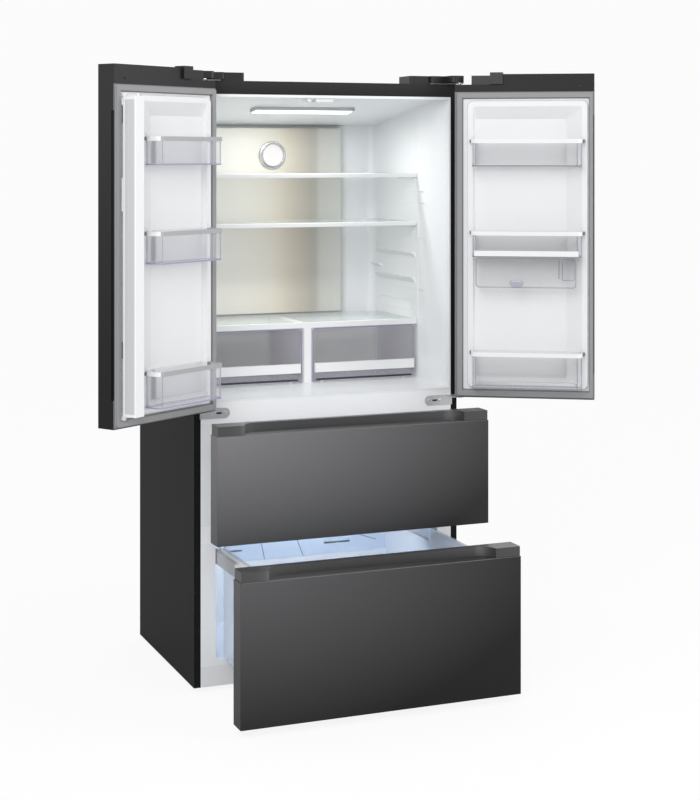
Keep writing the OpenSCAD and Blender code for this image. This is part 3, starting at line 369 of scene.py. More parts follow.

# %% [markdown]
# ## Grips and black covers
#
# The grips are dark extrusions. Near both ends the light catches the bend of the profile,
# and a painted highlight gives that bright step. Their middle, which is set back, is a
# little darker: painted shade. The covers are dull black plastic with a fine grain.
# Most finishes are like theirs, one colour and a grain, so a helper makes them.

# %% Grips and covers
# Painted highlight at the bends near the ends, painted shade along the set-back middle.
GRIP_END, GRIP_PAINTED_HIGHLIGHT, GRIP_MIDDLE_PAINTED_SHADE = (0.066, 0.066, 0.068), (0.17, 0.17, 0.173), (0.052, 0.052, 0.053)
GRIP_PAINTED_LIGHT_BANDS = [(-0.4155, GRIP_END), (-0.350, GRIP_END), (-0.330, GRIP_PAINTED_HIGHLIGHT), (-0.310, GRIP_MIDDLE_PAINTED_SHADE),
              (0, GRIP_MIDDLE_PAINTED_SHADE), (0.285, GRIP_MIDDLE_PAINTED_SHADE), (0.305, GRIP_PAINTED_HIGHLIGHT), (0.322, GRIP_MIDDLE_PAINTED_SHADE),
              (0.350, GRIP_END), (0.4155, GRIP_END)]
grip_dark = painted_light_bands("grip_trim_dark", "X", GRIP_PAINTED_LIGHT_BANDS, 0.30, metallic=0.2, specular=0.45)
dress(grip_dark, "upper_drawer_grip", "lower_drawer_grip")


def plain_finish(name, colour, roughness, grain, strength, stretch=(1, 1, 1), **more):
    """One colour with a grain, which makes brush lines where it is stretched."""
    material, tree, shader = new_finish(name, colour, roughness, **more)
    add_grain(tree, shader, grain, strength, stretch)
    return material


cap_black = plain_finish("cap_black_plastic", (0.012, 0.012, 0.013), 0.32, 1200, 0.3, specular=0.4)
dress(cap_black, "hinge_covers", "left_cable_cover", "right_cable_cover", "machine_cover", "fan_blades")

# %% [markdown]
# ## White mouldings
#
# The liners are drawn from one sheet of white plastic. It is slightly blue in the
# cabinet's own light, and has a faint, fine grain. Its colour wanders between two
# close tones, because one even white would look like paper. The air cover behind the
# drawers is light blue.

# %% Liners, rails and trims
def two_tone(name, dark, light, roughness, grain, strength, distance=0.0001, **more):
    """Finish whose colour wanders between two close tones."""
    material, tree, shader = new_finish(name, dark, roughness, **more)
    noise = add_grain(tree, shader, grain, strength, distance=distance)
    vary_colour(tree, shader, noise, dark, light)
    return material


liner_white = two_tone("liner_white", (0.83, 0.845, 0.86), (0.86, 0.87, 0.88), 0.32, 500, 0.05)
dress(liner_white, "fridge_liner")
door_white = two_tone("door_liner_white", (0.80, 0.805, 0.81), (0.83, 0.835, 0.84), 0.30, 500, 0.05)
dress(door_white, "left_door_liner", "right_door_liner")
cover_blue = two_tone("air_cover_blue", (0.56, 0.70, 0.90), (0.62, 0.75, 0.94), 0.4, 400, 0.06)
dress(cover_blue, "evaporator_cover")
rail_grey = two_tone("rail_light_grey", (0.91, 0.912, 0.915), (0.93, 0.932, 0.935), 0.4, 700, 0.08)
dress(rail_grey, "front_rails")
plinth_grey = two_tone("plinth_grey", (0.78, 0.785, 0.79), (0.82, 0.825, 0.83), 0.42, 700, 0.08)
dress(plinth_grey, "plinth")
trim_white = two_tone("trim_white", (0.83, 0.835, 0.84), (0.86, 0.865, 0.87), 0.3, 600, 0.05)
dress(trim_white, "shelf_trims", "crisper_frame", "mullion_guide", "mullion_bar", "left_crisper_handle",
      "right_crisper_handle", "upper_drawer_inner", "lower_drawer_inner")

# %% [markdown]
# ## Seals and door frames
#
# The door's inner frame and its gasket are both grey, but the gasket is soft and dull
# while the frame is a smoother, darker strip.

# %% Gaskets and frames
gasket_grey = two_tone("gasket_grey", (0.30, 0.30, 0.305), (0.33, 0.33, 0.335), 0.75, 900, 0.2,
                       specular=0.2)
dress(gasket_grey, "left_door_gasket", "right_door_gasket", "upper_drawer_gasket", "lower_drawer_gasket")
frame_grey = plain_finish("frame_grey", (0.21, 0.21, 0.215), 0.55, 800, 0.08, specular=0.25)
dress(frame_grey, "left_door_frame", "right_door_frame")

# %% [markdown]
# ## Rims of the door bins
#
# The rims are a little shiny: silver with a white end on the left door, and white on
# the right one. The silver is painted shade, a darker copy of the right door's white on
# the left door's rims. A grey clip holds each rim where it meets the liner. Rim and clip
# belong to one piece of the solid model, so the finish measures in the door's own
# sizes and changes its tone at set places.

# %% Bin rims
RIM_PAINTED_SHADE_SILVER, RIM_WHITE, RIM_END = (0.40, 0.405, 0.41), (0.84, 0.845, 0.85), 0.302
CLIP_GREY, CLIP_EDGE = (0.20, 0.205, 0.21), 0.067


def rim_finish(name, side, main):
    """Rim of one tone with a white end, and grey clips where it meets the liner."""
    material, tree, shader = new_finish(name, main, 0.32)
    place = door_matrix(side).inverted()
    coords = tree.nodes.new("ShaderNodeTexCoord")
    mapping = tree.nodes.new("ShaderNodeMapping")
    mapping.inputs["Location"].default_value = place.translation
    mapping.inputs["Rotation"].default_value = (0, 0, DOOR_ANGLE[side])
    mapping.inputs["Scale"].default_value = (-1 if side == "right" else 1, 1, 1)
    split = tree.nodes.new("ShaderNodeSeparateXYZ")
    along = tree.nodes.new("ShaderNodeMapRange")
    along.inputs["From Max"].default_value = DOOR_L
    ramp = tree.nodes.new("ShaderNodeValToRGB")
    ramp.color_ramp.interpolation = "CONSTANT"
    ramp.color_ramp.elements[0].color = (*main, 1)
    ramp.color_ramp.elements[1].position = RIM_END / DOOR_L
    ramp.color_ramp.elements[1].color = (*RIM_WHITE, 1)
    clip = tree.nodes.new("ShaderNodeMath")
    clip.operation = "LESS_THAN"
    clip.inputs[1].default_value = CLIP_EDGE
    tint = tree.nodes.new("ShaderNodeMix")
    tint.data_type = "RGBA"
    tint.inputs["B"].default_value = (*CLIP_GREY, 1)
    tree.links.new(coords.outputs["Object"], mapping.inputs["Vector"])
    tree.links.new(mapping.outputs["Vector"], split.inputs["Vector"])
    tree.links.new(split.outputs["X"], along.inputs["Value"])
    tree.links.new(along.outputs["Result"], ramp.inputs["Fac"])
    tree.links.new(split.outputs["Y"], clip.inputs[0])
    tree.links.new(clip.outputs["Value"], tint.inputs["Factor"])
    tree.links.new(ramp.outputs["Color"], tint.inputs["A"])
    tree.links.new(tint.outputs["Result"], shader.inputs["Base Color"])
    add_grain(tree, shader, 300, 0.05, stretch=(0.05, 0.05, 1))
    return material


# Painted shade: the left door's rims are a darker silver copy of the right door's white.
dress(rim_finish("rim_left_painted_shade", "left", RIM_PAINTED_SHADE_SILVER), "left_bin_rims")
dress(rim_finish("rim_right", "right", RIM_WHITE), "right_bin_rims")

# %% [markdown]
# ## The lamp in the ceiling
#
# A white lens sits in a grey housing. The lens is lit, so its finish gives off light
# of its own, and stays white in the picture although it hangs in the shade.

# %% Lamp housing and lens
lamp_grey = plain_finish("lamp_grey", (0.50, 0.515, 0.53), 0.4, 700, 0.05)
dress(lamp_grey, "lamp_housing")
lamp_lit, tree, shader = new_finish("lamp_lit", (0.95, 0.97, 1.0), 0.5)
shader.inputs["Emission Color"].default_value = (0.95, 0.98, 1.0, 1)
shader.inputs["Emission Strength"].default_value = 1.6
add_grain(tree, shader, 250, 0.1, distance=0.0002)
dress(lamp_lit, "lamp_lens")

# %% [markdown]
# ## Bare metal and hidden parts
#
# Hinges, runners and fins are plated or bare metal. The brush lines run along each
# sheet, so their noise is stretched along one axis. The compressor, the feet and the
# foam are seldom seen, and get a plain finish.

# %% Metals and hidden parts
hinge_steel = plain_finish("hinge_steel", (0.66, 0.67, 0.68), 0.30, 400, 0.1, (0.1, 1, 1), metallic=0.75)
dress(hinge_steel, "middle_hinges", "top_hinges")
runner_steel = plain_finish("runner_steel", (0.55, 0.56, 0.58), 0.34, 500, 0.1, (1, 0.05, 1), metallic=0.8)
dress(runner_steel, "fixed_runners", "upper_mid_runners", "lower_mid_runners", "base_plate")
fin_metal = plain_finish("fin_aluminium", (0.62, 0.63, 0.65), 0.4, 300, 0.2, metallic=0.8)
dress(fin_metal, "evaporator", "condenser")
rear_grey = two_tone("rear_grey_sheet", (0.28, 0.285, 0.29), (0.32, 0.325, 0.33), 0.5, 500, 0.1,
                     metallic=0.1)
dress(rear_grey, "rear_panel")
pot_black = plain_finish("compressor_black", (0.015, 0.015, 0.016), 0.25, 200, 0.1, coat=0.4)
dress(pot_black, "compressor")
rubber_black = plain_finish("rubber_black", (0.02, 0.02, 0.02), 0.75, 900, 0.3, specular=0.3)
dress(rubber_black, "levelling_feet", "rear_rollers")
foam_cream = two_tone("foam_cream", (0.68, 0.60, 0.40), (0.80, 0.74, 0.55), 0.9, 350, 0.5,
                      distance=0.0005, specular=0.2)
dress(foam_cream, "insulation")

# %% [markdown]
# ## The duct panel and the freezer's walls
#
# The brushed panel at the back of the fridge mirrors the room, and that reflection is
# painted into its colour: white on its left, a darker band right of its middle, and
# paler again. The freezer's front edge is white, and its walls turn cool blue behind it,
# painted light that stands for the light coming off the blue air cover. Both are
# painted bands, one over the width and one over the depth.

# %% Duct panel and freezer walls
# Painted reflection of the room, in bands across the panel's width.
DUCT_PAINTED_REFLECTION_BANDS = [(-0.247, (0.84, 0.83, 0.79)), (-0.10, (0.83, 0.80, 0.73)), (-0.01, (0.79, 0.75, 0.66)),
              (0.05, (0.66, 0.60, 0.49)), (0.12, (0.47, 0.44, 0.38)), (0.150, (0.43, 0.42, 0.38)),
              (0.165, (0.60, 0.59, 0.54)), (0.20, (0.60, 0.60, 0.56)), (0.247, (0.66, 0.665, 0.63))]
dress(painted_light_bands("duct_brushed_painted_reflection", "X", DUCT_PAINTED_REFLECTION_BANDS, 0.38, 0.15, stretch=(1, 1, 0.02)), "air_duct_panel")
FLANGE_Y, DEEP_Y = -CASE_D / 2, -CASE_D / 2 + 0.08
# Painted blue light, from the white front edge back into the freezer.
FREEZER_PAINTED_LIGHT_BANDS = [(FLANGE_Y, (0.87, 0.88, 0.89)), (FLANGE_Y + 0.006, (0.86, 0.875, 0.89)),
                 (FLANGE_Y + 0.02, (0.78, 0.84, 0.91)), (DEEP_Y, (0.78, 0.84, 0.92))]
dress(painted_light_bands("freezer_white_painted_blue_light", "Y", FREEZER_PAINTED_LIGHT_BANDS, 0.35), "freezer_liner")

# %% [markdown]
# ## The air filter
#
# A white disc sits in a chrome ring. Both belong to one piece of the solid model, so
# the finish itself tells them apart by the distance from the middle of the disc.

# %% Ring and disc
DISC_R, DISC_WHITE, RING_CHROME = 0.0362, (0.78, 0.74, 0.73, 1), (0.62, 0.63, 0.65, 1)
filter_low, filter_high = (Vector(c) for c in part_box("air_filter"))
FILTER = (filter_low + filter_high) / 2
filter_finish, tree, shader = new_finish("filter_ring_and_disc", (0.8, 0.8, 0.8), 0.25)
coords = tree.nodes.new("ShaderNodeTexCoord")
mapping = tree.nodes.new("ShaderNodeMapping")
mapping.inputs["Location"].default_value = -FILTER
flatten = tree.nodes.new("ShaderNodeVectorMath")
flatten.operation = "MULTIPLY"
flatten.inputs[1].default_value = (1, 0, 1)
length = tree.nodes.new("ShaderNodeVectorMath")
length.operation = "LENGTH"
ring = tree.nodes.new("ShaderNodeMath")
ring.operation = "GREATER_THAN"
ring.inputs[1].default_value = DISC_R
tint = tree.nodes.new("ShaderNodeValToRGB")
tint.color_ramp.elements[0].color = DISC_WHITE
tint.color_ramp.elements[1].color = RING_CHROME
tree.links.new(coords.outputs["Object"], mapping.inputs["Vector"])
tree.links.new(mapping.outputs["Vector"], flatten.inputs[0])
tree.links.new(flatten.outputs["Vector"], length.inputs[0])
tree.links.new(length.outputs["Value"], ring.inputs[0])
tree.links.new(ring.outputs[0], tint.inputs["Fac"])
tree.links.new(tint.outputs["Color"], shader.inputs["Base Color"])
tree.links.new(ring.outputs[0], shader.inputs["Metallic"])
dress(filter_finish, "air_filter")

# %% [markdown]
# ## Glass and clear plastic
#
# Shelves are clear glass, and the bins and crispers are clear plastic that looks
# violet where it is seen edge on. A layer weight turns the colour and the cover of
# the shader up at such edges, as light does in a thick moulding.

# %% Clear finishes
def clear_finish(name, face, edge, face_alpha, edge_alpha, roughness=0.06):
    """See-through finish that is denser where the surface turns away."""
    material, tree, shader = new_finish(name, face, roughness)
    edge_on = tree.nodes.new("ShaderNodeLayerWeight")
    edge_on.inputs["Blend"].default_value = 0.25
    colour = tree.nodes.new("ShaderNodeValToRGB")
    colour.color_ramp.elements[0].color = (*face, 1)
    colour.color_ramp.elements[1].color = (*edge, 1)
    cover = tree.nodes.new("ShaderNodeMapRange")
    cover.inputs["To Min"].default_value = face_alpha
    cover.inputs["To Max"].default_value = edge_alpha
    tree.links.new(edge_on.outputs["Facing"], colour.inputs["Fac"])
    tree.links.new(edge_on.outputs["Facing"], cover.inputs["Value"])
    tree.links.new(colour.outputs["Color"], shader.inputs["Base Color"])
    tree.links.new(cover.outputs["Result"], shader.inputs["Alpha"])
    add_grain(tree, shader, 60, 0.02)
    return material


dress(clear_finish("shelf_glass", (0.80, 0.86, 0.85), (0.60, 0.72, 0.70), 0.16, 0.60), "glass_shelves")
bin_clear = clear_finish("bin_clear", (0.86, 0.86, 0.89), (0.46, 0.45, 0.60), 0.045, 0.50)
dress(bin_clear, "left_door_bins", "right_door_bins", "snack_box")
crisper_clear = clear_finish("crisper_clear", (0.80, 0.79, 0.80), (0.42, 0.40, 0.66), 0.07, 0.66)
dress(crisper_clear, "left_crisper", "right_crisper")
dress(clear_finish("basket_frosted", (0.84, 0.89, 0.95), (0.60, 0.72, 0.90), 0.14, 0.60, 0.15),
      "upper_drawer_basket", "lower_drawer_basket")

# %% [markdown]
# ## Handing a small piece over
#
# The small pieces are drawn with bmesh and put in place there, so every object stays
# at the origin and follows its body exactly. One helper makes the object, and says
# which body it rides on. The shapes themselves are short functions, each written
# where it is first needed.

# %% Joining, turning and drawing out
STAND_UP = Matrix.Rotation(math.radians(90), 4, "X")
FACE_IN = Matrix.Rotation(math.radians(-90), 4, "X")


def hand_over(name, shape, body, finish, place=None):
    """Put a finished shape in place and let it ride on a body of the solid model."""
    bmesh.ops.remove_doubles(shape, verts=shape.verts, dist=1e-6)
    if place is not None:
        bmesh.ops.transform(shape, matrix=place, verts=shape.verts)
    bmesh.ops.recalc_face_normals(shape, faces=shape.faces)
    mesh = bpy.data.meshes.new(name)
    shape.to_mesh(mesh)
    shape.free()
    piece = bpy.data.objects.new(name, mesh)
    bpy.context.collection.objects.link(piece)
    piece.data.materials.append(finish)
    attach(piece, body)
    print(name, "on", body, "with", len(mesh.polygons), "faces")


def join_in(shape, part, place=None):
    """Move a part's faces into a larger shape."""
    if place is not None:
        bmesh.ops.transform(part, matrix=place, verts=part.verts)
    scrap = bpy.data.meshes.new("scrap")
    part.to_mesh(scrap)
    part.free()
    shape.from_mesh(scrap)
    bpy.data.meshes.remove(scrap)


def facing(point, normal):
    """Place whose Z axis points along the normal."""
    turn = Vector(normal).to_track_quat("Z", "Y").to_matrix().to_4x4()
    return Matrix.Translation(point) @ turn


def only(geometry, kind):
    """The faces, edges or vertices among what an operator made."""
    return [item for item in geometry if isinstance(item, kind)]


def draw_out(shape, faces, vec):
    """Draw faces out along a vector; returns the new faces at their end."""
    made = bmesh.ops.extrude_face_region(shape, geom=faces)["geom"]
    bmesh.ops.translate(shape, vec=vec, verts=only(made, bmesh.types.BMVert))
    return only(made, bmesh.types.BMFace)


print("ready for small pieces")

# %% [markdown]
# ## Screws of the middle hinges
#
# Two pan heads hold each middle hinge. A head is a disc that is drawn up and crowned.
# The corners of its top are then pulled in to a cross, and the cross goes down as the
# recess, which is what makes it read as a screw from a step away.

# %% Hinge screws
def screw(radius, height, segments=16):
    """Pan head on z = 0 with a cross recess, in shares of its radius and height."""
    crown, land, draft, depth = 0.24, 0.16, 0.02, 0.6
    nip, arm = 0.45, 20
    wall = height * 0.5
    shape = bmesh.new()
    half_step = Matrix.Rotation(math.pi / segments, 4, "Z")
    bmesh.ops.create_circle(shape, cap_ends=True, segments=segments, radius=radius, matrix=half_step)
    top = draw_out(shape, list(shape.faces), (0, 0, wall))
    shape.normal_update()
    bmesh.ops.inset_region(shape, faces=top, thickness=radius * crown, depth=height - wall)
    bmesh.ops.inset_region(shape, faces=top, thickness=radius * land)
    for vert in top[0].verts:
        turn = math.degrees(math.atan2(vert.co.y, vert.co.x)) % 90
        if arm < turn < 90 - arm:
            vert.co.x *= nip
            vert.co.y *= nip
    bmesh.ops.inset_region(shape, faces=top, thickness=radius * draft, depth=-height * depth)
    return shape


HINGE_HEAD, CAP_HEAD = (0.0048, 0.0022), (0.0042, 0.0012)
BOLT_X, BOLT_Z, PLATE_FRONT = (0.3235, 0.3605), 0.7855, -0.003
screw_bright = plain_finish("screw_bright", (0.80, 0.81, 0.82), 0.22, 900, 0.05, metallic=0.9)
screw_dark = plain_finish("screw_dark", (0.010, 0.010, 0.0105), 0.35, 900, 0.05, metallic=0.2)
hinge_screws = bmesh.new()
for side in (-1, 1):
    for x in BOLT_X:
        seat = facing(on_cabinet(side * x, PLATE_FRONT, BOLT_Z), (0, -1, 0))
        join_in(hinge_screws, screw(*HINGE_HEAD), seat)
hand_over("middle_hinge_screws", hinge_screws, "cabinet", screw_bright)

# %% [markdown]
# ## Adjusting slots
#
# Between its screws, each middle hinge has a slot that lets the fitter set the height
# of the door. The slot is shown by a dark block, a hair proud of the plate, so that
# the solid model needs no cut.

# %% Slots of the middle hinges
SOFT_EDGE = 0.0004
SLOT_X, SLOT_RISE, SLOT_PROUD, SLOT_SUNK = (0.334, 0.350), 0.0026, 0.0003, 0.0006


def block(low, high, edge=SOFT_EDGE, segments=2):
    """Block between two corners with all its edges rounded."""
    shape = bmesh.new()
    low, high = Vector(low), Vector(high)
    size = high - low
    bmesh.ops.create_cube(shape, size=1.0)
    bmesh.ops.scale(shape, vec=size, verts=shape.verts)
    bmesh.ops.translate(shape, vec=(low + high) / 2, verts=shape.verts)
    bmesh.ops.bevel(shape, geom=list(shape.edges), offset=edge, segments=segments,
                    affect="EDGES", profile=0.5, material=-1)
    return shape


def span(side, ends):
    """Two distances from the middle on one side (-1 or 1), the lower one first."""
    return sorted(side * end for end in ends)


slots = bmesh.new()
for side in (-1, 1):
    x0, x1 = span(side, SLOT_X)
    join_in(slots, block(on_cabinet(x0, PLATE_FRONT - SLOT_PROUD, BOLT_Z - SLOT_RISE),
                         on_cabinet(x1, PLATE_FRONT + SLOT_SUNK, BOLT_Z + SLOT_RISE)))
hand_over("middle_hinge_slots", slots, "cabinet", screw_dark)

# %% [markdown]
# ## Screws of the door caps
#
# One dark screw closes the top cap of each door, on the face that looks into the
# fridge. It is the same head, a little smaller and flatter.

# %% Cap screws
CAP_SEAT = (0.361, 0.036, 1.734)
for side in ("left", "right"):
    seat = Matrix.Translation(CAP_SEAT) @ FACE_IN
    hand_over(side + "_cap_screw", screw(*CAP_HEAD), side + "_door", screw_dark,
              door_matrix(side) @ seat)

# %% [markdown]
# ## The flip mullion
#
# The bar that closes the gap between the doors is white plastic with a pressed steel
# plate in front. The plate has a shallow groove along it, and a seal lip beside it.
# Both have one section all along, so the section is drawn once and pulled to length.

# %% Plate and lip of the mullion
def section_strip(section, start, end):
    """Closed section of (y, x) points, drawn out along Z from start to end."""
    shape = bmesh.new()
    verts = [shape.verts.new((x, y, start)) for y, x in section]
    shape.faces.new(verts)
    draw_out(shape, list(shape.faces), (0, 0, end - start))
    return shape


bar_low, bar_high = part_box("mullion_bar")
PIN_RISE, PLATE_END, LIP_END = 0.008, 0.008, 0.004
BAR_Z0, BAR_Z1 = bar_low[2] - LIFT, bar_high[2] - LIFT - PIN_RISE
BAR_FACE, LIP_FACE, PLATE_FACE, GROOVE_FACE = 0.384, 0.3844, 0.38455, 0.3843
PLATE_SECTION = [(0.0580, BAR_FACE), (0.0584, PLATE_FACE), (0.0700, PLATE_FACE), (0.0706, GROOVE_FACE),
                 (0.0734, GROOVE_FACE), (0.0740, PLATE_FACE), (0.0911, PLATE_FACE), (0.0915, BAR_FACE)]
LIP_SECTION = [(0.0510, BAR_FACE), (0.0512, LIP_FACE), (0.0520, LIP_FACE), (0.0522, BAR_FACE)]
plate_grey = plain_finish("mullion_plate_grey", (0.62, 0.625, 0.63), 0.38, 500, 0.08, (1, 1, 0.05),
                          metallic=0.2)
mullion_face = section_strip(PLATE_SECTION, BAR_Z0 + PLATE_END, BAR_Z1 - PLATE_END)
join_in(mullion_face, section_strip(LIP_SECTION, BAR_Z0 + LIP_END, BAR_Z1 - LIP_END))
hand_over("mullion_plate", mullion_face, "mullion", plate_grey, door_matrix("left"))

# %% [markdown]
# ## Springs and knuckles of the mullion
#
# On its hinge side the bar has two small spring plates, which make it snap over, and
# two white knuckles that it turns on. All four are plain blocks, so they are given by
# two corners of their section and by their heights.

# %% Springs and knuckles
SPRING_LOW, SPRING_HIGH = (0.3832, 0.0482), (0.3850, 0.0500)
SPRING_Z = ((0.991, 1.035), (1.613, 1.658))
KNUCKLE_LOW, KNUCKLE_HIGH, KNUCKLE_EDGE = (0.3790, 0.0456), (0.3846, 0.0486), 0.0006
KNUCKLE_Z = ((1.380, 1.469), (1.662, 1.679))


def stack(low, high, heights, edge=SOFT_EDGE):
    """Blocks of one section above each other, between pairs of heights."""
    shape = bmesh.new()
    for z0, z1 in heights:
        join_in(shape, block((*low, z0), (*high, z1), edge))
    return shape


springs = stack(SPRING_LOW, SPRING_HIGH, SPRING_Z)
hand_over("mullion_springs", springs, "mullion", screw_dark, door_matrix("left"))
knuckles = stack(KNUCKLE_LOW, KNUCKLE_HIGH, KNUCKLE_Z, KNUCKLE_EDGE)
hand_over("mullion_knuckles", knuckles, "mullion", trim_white, door_matrix("left"))

# %% [markdown]
# ## Ears on the door bins
#
# Each bin has a small clear ear at both ends of its rim, a triangle that leans on the
# door's ledge and keeps tall things from tipping sideways. It is drawn as its outline
# and pulled out to its thickness.

# %% Bin ears
EAR_FOOT, EAR_TIP, EAR_TOP, EAR_RISE, EAR_T, EAR_EDGE = 0.056, 0.071, 0.059, 0.012, 0.0018, 0.0003
BIN_ENDS = {"left": (0.045, 0.308), "right": (0.045, 0.366)}
RIM_TOPS = {"left": (1.579, 1.325, 0.951), "right": (1.576, 1.304, 0.947)}


def ear(x, z):
    """Clear triangle that stands on a rim at height z."""
    shape = bmesh.new()
    corners = [(EAR_FOOT, z), (EAR_TIP, z), (EAR_TOP, z + EAR_RISE), (EAR_FOOT, z + EAR_RISE)]
    verts = [shape.verts.new((x - EAR_T / 2, y, height)) for y, height in corners]
    shape.faces.new(verts)
    draw_out(shape, list(shape.faces), (EAR_T, 0, 0))
    bmesh.ops.recalc_face_normals(shape, faces=shape.faces)
    bmesh.ops.bevel(shape, geom=list(shape.edges), offset=EAR_EDGE, segments=2, affect="EDGES",
                    profile=0.5, material=-1)
    return shape


for side in ("left", "right"):
    ears = bmesh.new()
    for z in RIM_TOPS[side]:
        for x in (BIN_ENDS[side][0] + EAR_T, BIN_ENDS[side][1] - EAR_T):
            join_in(ears, ear(x, z))
    hand_over(side + "_bin_ears", ears, side + "_door", bin_clear, door_matrix(side))

# %% [markdown]
# ## Feet and posts of the bins
#
# A clear moulding looks almost invisible face on, and shows as a darker line where it
# is thick and bends the light: violet on the left door, grey on the right one. That line
# is painted edge shade. Each bin has such a line round its foot and one up each corner.
# A flat frame and four beads draw them, because the finish of the whole bin can't darken
# a single edge.

# %% Shapes for thick edges
BEAD_R, BEAD_STEPS = 0.0011, ((0.03, 1.0), (0.94, 1.0), (0.03, 0.3))


def flat_frame(width, height, strip, thickness, corner):
    """Flat frame in the XY plane round the middle, with rounded corners."""
    shape = bmesh.new()
    bmesh.ops.create_grid(shape, x_segments=1, y_segments=1, size=0.5)
    bmesh.ops.scale(shape, vec=(width, height, 1), verts=shape.verts)
    bmesh.ops.bevel(shape, geom=list(shape.verts), offset=corner, segments=5, affect="VERTICES",
                    profile=0.5, material=-1)
    inner = list(shape.faces)
    bmesh.ops.inset_region(shape, faces=inner, thickness=strip, use_boundary=True)
    bmesh.ops.delete(shape, geom=inner, context="FACES")
    bmesh.ops.solidify(shape, geom=list(shape.faces), thickness=thickness)
    return shape


def bead(length):
    """Round bead along Z, made in steps of its length and drawn in at its far end."""
    shape = bmesh.new()
    bmesh.ops.create_circle(shape, cap_ends=True, segments=12, radius=BEAD_R)
    made = list(shape.faces)
    for number, (share, scale) in enumerate(BEAD_STEPS):
        tip = draw_out(shape, made, (0, 0, length * share))
        if number > 0:
            bmesh.ops.delete(shape, geom=made, context="FACES_ONLY")
        made = tip
        middle = made[0].calc_center_median()
        for vert in made[0].verts:
            vert.co.x = middle.x + (vert.co.x - middle.x) * scale
            vert.co.y = middle.y + (vert.co.y - middle.y) * scale
    return shape


print("beads of", 2 * BEAD_R, "m")

# %% [markdown]
# ## Drawing the feet and posts
#
# The frame of a foot goes round the bin's floor, with the bin's own corner radius. The
# side posts stand near the liner and the front posts at the bin's rounded corners.

# %% Bin feet and posts
# Painted edge shade, violet on the left door and grey on the right one.
violet_edge_shade = clear_finish("violet_edge_shade", (0.40, 0.39, 0.53), (0.33, 0.31, 0.54), 0.80, 0.92, 0.3)
grey_edge_shade = clear_finish("grey_edge_shade", (0.33, 0.33, 0.37), (0.28, 0.28, 0.36), 0.75, 0.92, 0.3)
EDGES = {"left": violet_edge_shade, "right": grey_edge_shade}
BIN_FEET = {"left": (1.505, 1.240, 0.855), "right": (1.498, 1.231, 0.843)}
BIN_BACK, BIN_FRONT, BIN_CORNER = 0.055, 0.1125, 0.014
FOOT_OVER, FOOT_STRIP, FOOT_T, FOOT_LIFT = 0.001, 0.0022, 0.0040, 0.001
SIDE_POST, FRONT_POST, POST_GAP = (0.0006, 0.066), (0.012, 0.1118), 0.012
for side in ("left", "right"):
    feet = bmesh.new()
    x0, x1 = BIN_ENDS[side]
    for z, rim in zip(BIN_FEET[side], RIM_TOPS[side]):
        foot = flat_frame(x1 - x0 + FOOT_OVER, BIN_FRONT - BIN_BACK, FOOT_STRIP, FOOT_T, BIN_CORNER)
        middle = ((x0 + x1) / 2, (BIN_FRONT + BIN_BACK) / 2, z + FOOT_LIFT)
        join_in(feet, foot, Matrix.Translation(middle))
        for inset, y in (SIDE_POST, FRONT_POST):
            for x in (x0 + inset, x1 - inset):
                join_in(feet, bead(rim - z - POST_GAP), Matrix.Translation((x, y, z)))
    hand_over(side + "_bin_feet", feet, side + "_door", EDGES[side], door_matrix(side))

# %% [markdown]
# ## Edges and painted shadow lines of the crispers
#
# The front of each crisper is outlined in violet, painted edge shade where its walls run
# back from it. A dark line lies under it: the painted shadow in the gap between the
# crisper and the floor below it. Both take their size from the crisper's box in the
# solid model.

# %% Crisper edges and painted shadow lines
crisper_painted_shadow = clear_finish("crisper_painted_shadow", (0.035, 0.036, 0.055), (0.03, 0.03, 0.06), 0.92, 0.97, 0.3)
TRIM_FOOT, TRIM_GAP = 0.999, 0.001
OUTLINE_IN, OUTLINE_STRIP, OUTLINE_T, OUTLINE_CORNER, OUTLINE_OUT = 0.006, 0.0030, 0.0014, 0.010, 0.0002
LINE_IN, LINE_PROUD, LINE_SUNK, LINE_Z = 0.012, 0.0012, 0.0008, (0.0005, 0.0060)
for side in ("left", "right"):
    low, high = (Vector(c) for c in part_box(side + "_crisper"))
    top = TRIM_FOOT + LIFT - TRIM_GAP
    outline = flat_frame(high.x - low.x - OUTLINE_IN, top - low.z, OUTLINE_STRIP, OUTLINE_T, OUTLINE_CORNER)
    middle = ((low.x + high.x) / 2, low.y - OUTLINE_OUT, (low.z + top) / 2)
    hand_over(side + "_crisper_edge", outline, side + "_crisper_drawer", violet_edge_shade,
              Matrix.Translation(middle) @ STAND_UP)
    # Painted shadow: a dark block along the front of the crisper's floor.
    foot = block((low.x + LINE_IN, low.y - LINE_PROUD, low.z + LINE_Z[0]),
                 (high.x - LINE_IN, low.y + LINE_SUNK, low.z + LINE_Z[1]))
    hand_over(side + "_crisper_shadow_line", foot, side + "_crisper_drawer", crisper_painted_shadow)

# %% [markdown]
# ## Lines on the crispers' frame
#
# The white frame round the crispers has thin violet lines along its middle post and
# under the front of the glass cover, painted edge shade like the crispers' outlines.
# They are strips laid into its front face.

# %% Frame lines
FINE_EDGE = 0.0002
FRAME_FRONT, FRAME_FOOT, POST_X, COVER_X = 0.183, 0.834, 0.0125, (0.016, 0.364)
STRIP_PROUD, STRIP_SUNK, STRIP_HALF = 0.0004, 0.0006, 0.001
COVER_DOWN, COVER_UP = 0.0006, 0.0012


def front_strip(x0, x1, z0, z1):
    """Strip laid into the front face of the frame."""
    return block(on_cabinet(x0, FRAME_FRONT - STRIP_PROUD, z0),
                 on_cabinet(x1, FRAME_FRONT + STRIP_SUNK, z1), FINE_EDGE, 1)


